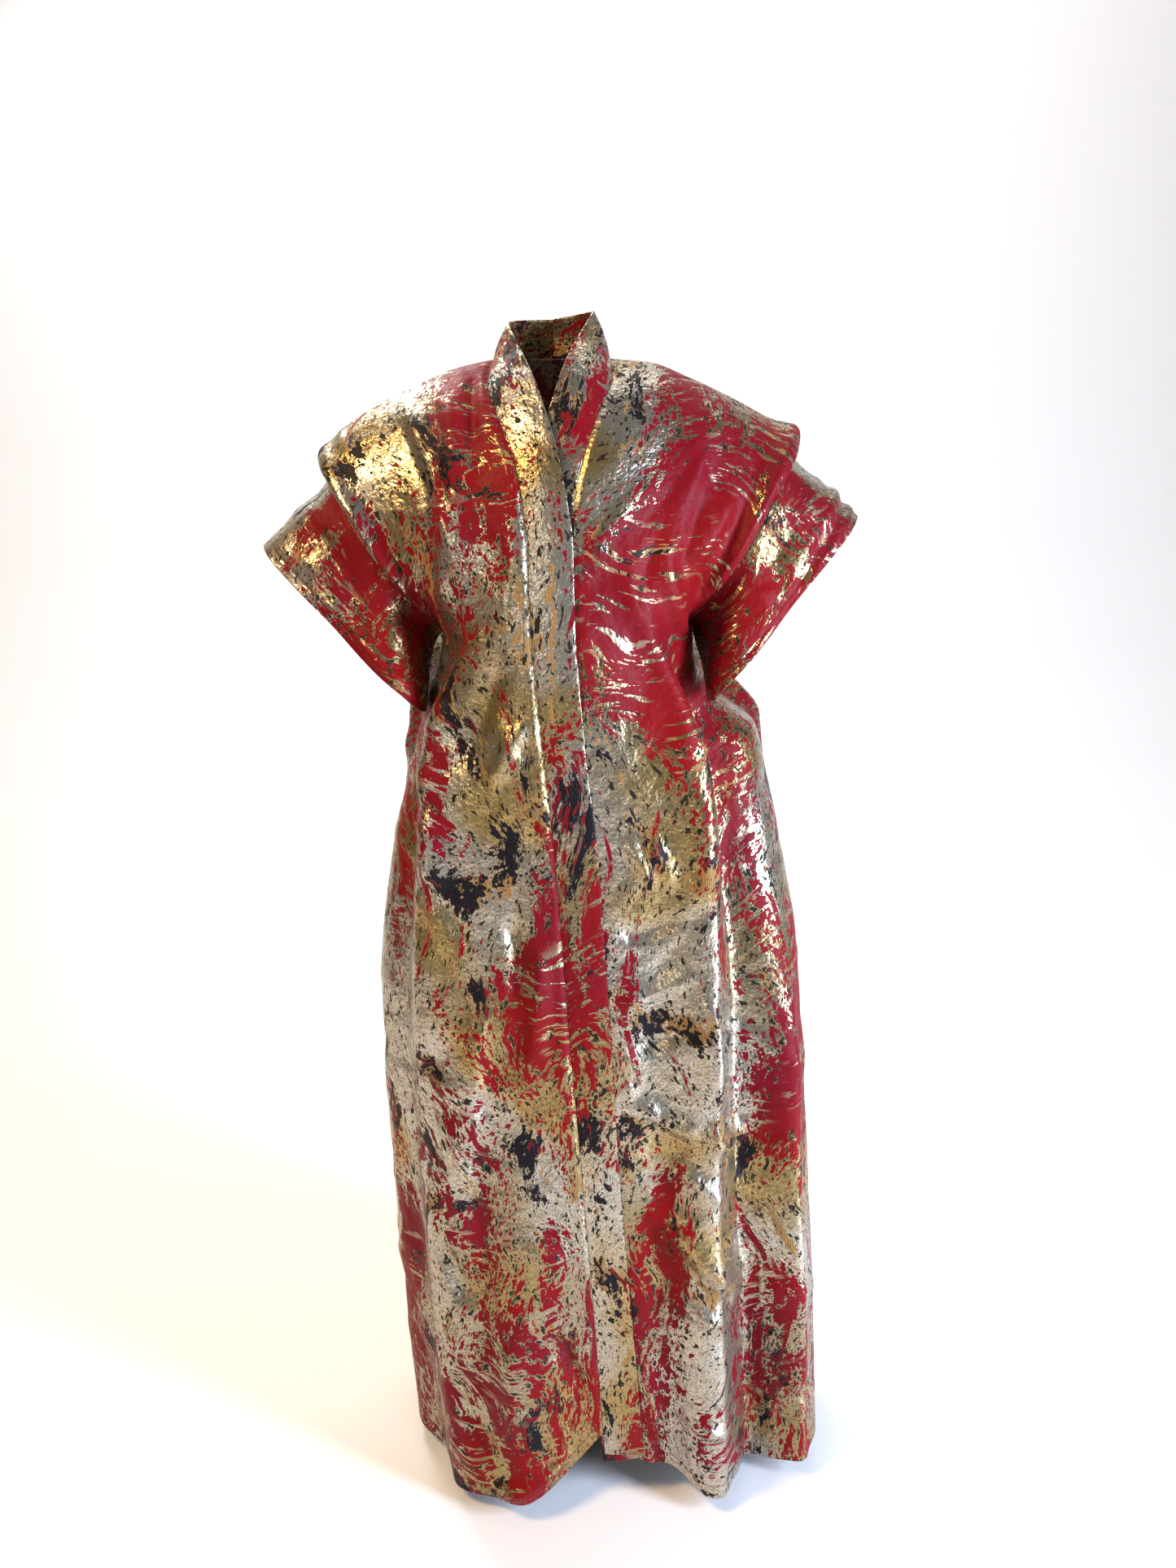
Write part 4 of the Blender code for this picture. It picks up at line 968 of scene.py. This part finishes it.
def sleeve_grid(side, head):
    """A sleeve from its seam to its cuff. The head runs over the front to the underarm."""
    cuff = dict(zip(CUFF_COLUMNS, CUFFS[side]))
    top = np.array([SIGN[side] * cuff["top_x"], cuff["top_y"], cuff["top_z"]])
    low = np.array([SIGN[side] * cuff["low_x"], cuff["low_y"], cuff["low_z"]])
    parts = np.concatenate([
        np.linspace(0.0, CUFF_SHARE, SLEEVE_RINGS),
        np.linspace(CUFF_SHARE, 1.0, CUFF_RINGS)[1:],
    ])
    turn = np.arange(len(head)) / len(head)
    angle = 2.0 * np.pi * turn
    ring = 0.5 * (top + low) + 0.5 * (top - low) * np.cos(angle)[:, None]
    ring[:, 1] += np.where(turn <= 0.5, -cuff["front"], -cuff["back"]) * np.sin(angle)
    grid = head[None] * (1.0 - parts[:, None, None]) + ring[None] * parts[:, None, None]
    low_side = (0.5 * (1.0 - np.cos(angle)))[None, :] ** 2
    grid[:, :, 0] += SIGN[side] * UNDERARM_OUT * np.sin(np.pi * parts ** 0.5)[:, None] * low_side
    grid[:, :, 1] -= UNDERARM_FORWARD * smooth_step(0.1, 1.0, parts)[:, None] * low_side
    height = np.zeros(grid.shape[:2])
    for row in SLEEVE_FOLDS:
        fold = dict(zip(SLEEVE_FOLD_COLUMNS, row))
        middle = fold["turn_head"] + (fold["turn_cuff"] - fold["turn_head"]) * parts[:, None]
        away = (turn[None, :] - middle) / fold["width"]
        height += fold["height"] * np.exp(-(away ** 2)) * smooth_step(0.0, SLEEVE_FOLD_RISE, parts)[:, None]
    small = crease_heights(small_creases(*SMALL_OF_SLEEVES[side]), grid)
    height += small * (smooth_step(*SMALL_RISE, parts) * smooth_step(0.0, CUFF_HOLD, 1.0 - parts))[:, None]
    height += stitch_groove(grid, CUFF_STITCH)
    return grid + tube_normals(grid) * height[:, :, None]


for side, cuff in CUFFS.items():
    column = 0 if side == "right" else -1
    head = np.concatenate([front_points[side][:CAP_ROWS, -1], back_points[CAP_ROWS - 2:0:-1, column]])
    grid = sleeve_grid(side, head)
    closed = np.concatenate([grid, grid[:, :1]], axis=1)
    normals = tube_normals(grid)
    normals = np.concatenate([normals, normals[:, :1]], axis=1)
    sleeve = cloth_piece("cloth_sleeve_" + side, closed, normals, cloth_lengths(closed, 0, 0),
                         turned_in(closed, CUFF_TURN), {"top": SIDE_LEAN}, tube=True)
    cut = BROCADE_OF_SLEEVES[side]
    sleeve.data.materials.append(brocade("Brocade of the sleeve, " + side, *cut))
    sleeve.data.materials.append(brocade("Reverse of the sleeve, " + side, *cut, reverse=True))
    thread = stitches("thread_cuff_" + side, closed, normals, CUFF_STITCH)
    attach(sleeve, "root")
    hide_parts("sleeve_" + side)


# Bands. Each is a doubled strip of the same brocade, about 5 cm wide, sewn round the neck from
# the centre back and down the front edge to the hem. It stands up at the neck, and the right
# one covers the left one. Its free edge is a pressed fold.

BAND_WALL = 0.0024
BAND_CROWN = 0.0024
BAND_ACROSS = 13
BAND_NECK_ROWS = 26
BAND_HEM_ROWS = 9
BAND_HEMS = {"right": -1.384, "left": -1.392}
# The two bands meet at the centre back on their inner side, so no light comes through.
CENTRE_LEAN = -0.3
BROCADE_OF_BANDS = {"right": ((1.3, 4.2), 0.90, 0.47), "left": ((6.1, 3.3), -0.80, 0.47)}


def band_grid(side, seam, neck_numbers, across):
    """A band from the centre back of the neck to the hem, from its seam to its free edge."""
    numbers = np.linspace(0.0, len(NECKS[side]) - 1, FINE)
    route = neck_route(side, numbers, "seam")
    front_numbers = np.interp(-seam[len(neck_numbers):, 2], -route[:, 2], numbers)
    edge = neck_route(side, np.concatenate([neck_numbers, front_numbers]), "edge")
    z = seam[:, 2]
    level = np.stack([straight_x(side, "edge", z), straight_y(side, z), z], axis=-1)
    edge = np.where((z < FRONT_EDGE[0][0])[:, None], level, edge)
    grid = seam[:, None] * (1.0 - across[None, :, None]) + edge[:, None] * across[None, :, None]
    crown = BAND_CROWN * 4.0 * across * (1.0 - across)
    return grid + grid_normals(grid, side == "right") * crown[None, :, None]


for side, hem in BAND_HEMS.items():
    neck_numbers = np.linspace(0.0, SHOULDER_ROW, BAND_NECK_ROWS + 1)[:-1]
    neck_seam = neck_route(side, neck_numbers, "seam")
    seam = np.concatenate([neck_seam, front_points[side][:, 0]])
    if seam[-1, 2] > hem:
        seam = np.concatenate([seam, front_seam(side, np.linspace(seam[-1, 2], hem, BAND_HEM_ROWS)[1:])])
    grid = band_grid(side, seam, neck_numbers, np.linspace(0.0, 1.0, BAND_ACROSS))
    seam_lean = NECK_LEAN * smooth_step(*NECK_EASE, grid[:, 0, 2])
    normals = grid_normals(grid, side == "right")
    band = cloth_piece("cloth_band_" + side, grid, normals, cloth_lengths(grid, 0, 0), BAND_WALL,
                       {"top": CENTRE_LEAN, "first": seam_lean})
    for face in ("Brocade", "Lower layer"):
        band.data.materials.append(brocade(face + " of the band, " + side, *BROCADE_OF_BANDS[side]))
    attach(band, "root")
    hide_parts("band_" + side)


# Floor, light and camera. The floor and the wall behind are one plain pale sweep. A large warm
# light from above on the left and a cooler one from the right stand for a bright room.

FLOOR_Z = -1.46
SWEEP_SIZE = 16.0
SWEEP_FLAT = 1.2
SWEEP_BEND = 1.5
SWEEP_STEPS = 40
SWEEP_COLOUR = "#F2F1EF"
ROOM_COLOUR = "#EEF0F3"
ROOM_STRENGTH = 0.15

shape = bmesh.new()
bmesh.ops.create_grid(shape, x_segments=1, y_segments=SWEEP_STEPS, size=0.5 * SWEEP_SIZE)
quarter = SWEEP_BEND * np.pi * 0.5
for vertex in shape.verts:
    run = vertex.co.y
    bend = min(max(run - SWEEP_FLAT, 0.0), quarter)
    rise = SWEEP_BEND * (1.0 - np.cos(bend / SWEEP_BEND)) + max(run - SWEEP_FLAT - quarter, 0.0)
    vertex.co.y = min(run, SWEEP_FLAT) + SWEEP_BEND * np.sin(bend / SWEEP_BEND)
    vertex.co.z = FLOOR_Z + rise
sweep_mesh = bpy.data.meshes.new("Sweep")
shape.to_mesh(sweep_mesh)
shape.free()
sweep_mesh.shade_smooth()
sweep = bpy.data.objects.new("Sweep", sweep_mesh)
bpy.context.scene.collection.objects.link(sweep)
# Seamless backdrop paper: matt, so that it takes only soft shadows.
paper = bpy.data.materials.new("Pale paper")
paper.use_nodes = True
paper.node_tree.nodes["Principled BSDF"].inputs["Base Color"].default_value = linear(SWEEP_COLOUR)
paper.node_tree.nodes["Principled BSDF"].inputs["Roughness"].default_value = 0.9
sweep_mesh.materials.append(paper)

LIGHT_COLUMNS = ("name", "place", "aim", "width", "height", "power", "colour")
LIGHTS = (
    ("Warm light above left", (-1.5, -1.1, 1.5), (0.0, 0.0, -0.4), 0.6, 0.6, 64.0, "#FFD49A"),
    ("Cool window light right", (1.9, -1.2, -0.4), (0.0, 0.0, -0.75), 0.55, 1.7, 120.0, "#D3E2FF"),
    ("Soft front light", (-1.4, -3.2, 0.4), (0.0, 0.0, -0.8), 0.8, 1.4, 13.0, "#FFF6EA"),
    ("Soft back light", (-1.2, 2.0, 2.2), (0.0, 0.0, -0.6), 0.8, 0.8, 55.0, "#FFFFFF"),
    ("Backdrop light", (0.0, 1.3, 2.6), (0.0, 2.6, -0.6), 3.6, 1.2, 50.0, "#FFFFFF"),
)
for row in LIGHTS:
    light = dict(zip(LIGHT_COLUMNS, row))
    lamp = bpy.data.lights.new(light["name"], "AREA")
    lamp.shape = "RECTANGLE"
    lamp.size = light["width"]
    lamp.size_y = light["height"]
    lamp.energy = light["power"]
    lamp.color = linear(light["colour"])[:3]
    stand = bpy.data.objects.new(light["name"], lamp)
    stand.location = light["place"]
    stand.rotation_euler = (Vector(light["aim"]) - Vector(light["place"])).to_track_quat("-Z", "Y").to_euler()
    bpy.context.scene.collection.objects.link(stand)

world = bpy.data.worlds.new("Pale room")
world.use_nodes = True
world.node_tree.nodes["Background"].inputs["Color"].default_value = linear(ROOM_COLOUR)
world.node_tree.nodes["Background"].inputs["Strength"].default_value = ROOM_STRENGTH
bpy.context.scene.world = world
bpy.context.scene.view_settings.view_transform = "Standard"

CAMERA_PLACE = (0.0242, -1.5, -0.16)
CAMERA_DOWN = np.radians(13.5)
CAMERA_ROLL = np.radians(2.0)
CAMERA_LENS = 27.05
SENSOR_WIDTH = 36.0

lens = bpy.data.cameras.new("Camera")
lens.lens = CAMERA_LENS
lens.sensor_width = SENSOR_WIDTH
camera = bpy.data.objects.new("Camera", lens)
ahead = Vector((0.0, np.cos(CAMERA_DOWN), -np.sin(CAMERA_DOWN)))
across = Vector((1.0, 0.0, 0.0))
above = across.cross(ahead)
right = np.cos(CAMERA_ROLL) * across - np.sin(CAMERA_ROLL) * above
up = np.sin(CAMERA_ROLL) * across + np.cos(CAMERA_ROLL) * above
turn = Matrix((right, up, -ahead)).transposed()
camera.matrix_world = Matrix.Translation(CAMERA_PLACE) @ turn.to_4x4()
bpy.context.scene.collection.objects.link(camera)
bpy.context.scene.camera = camera
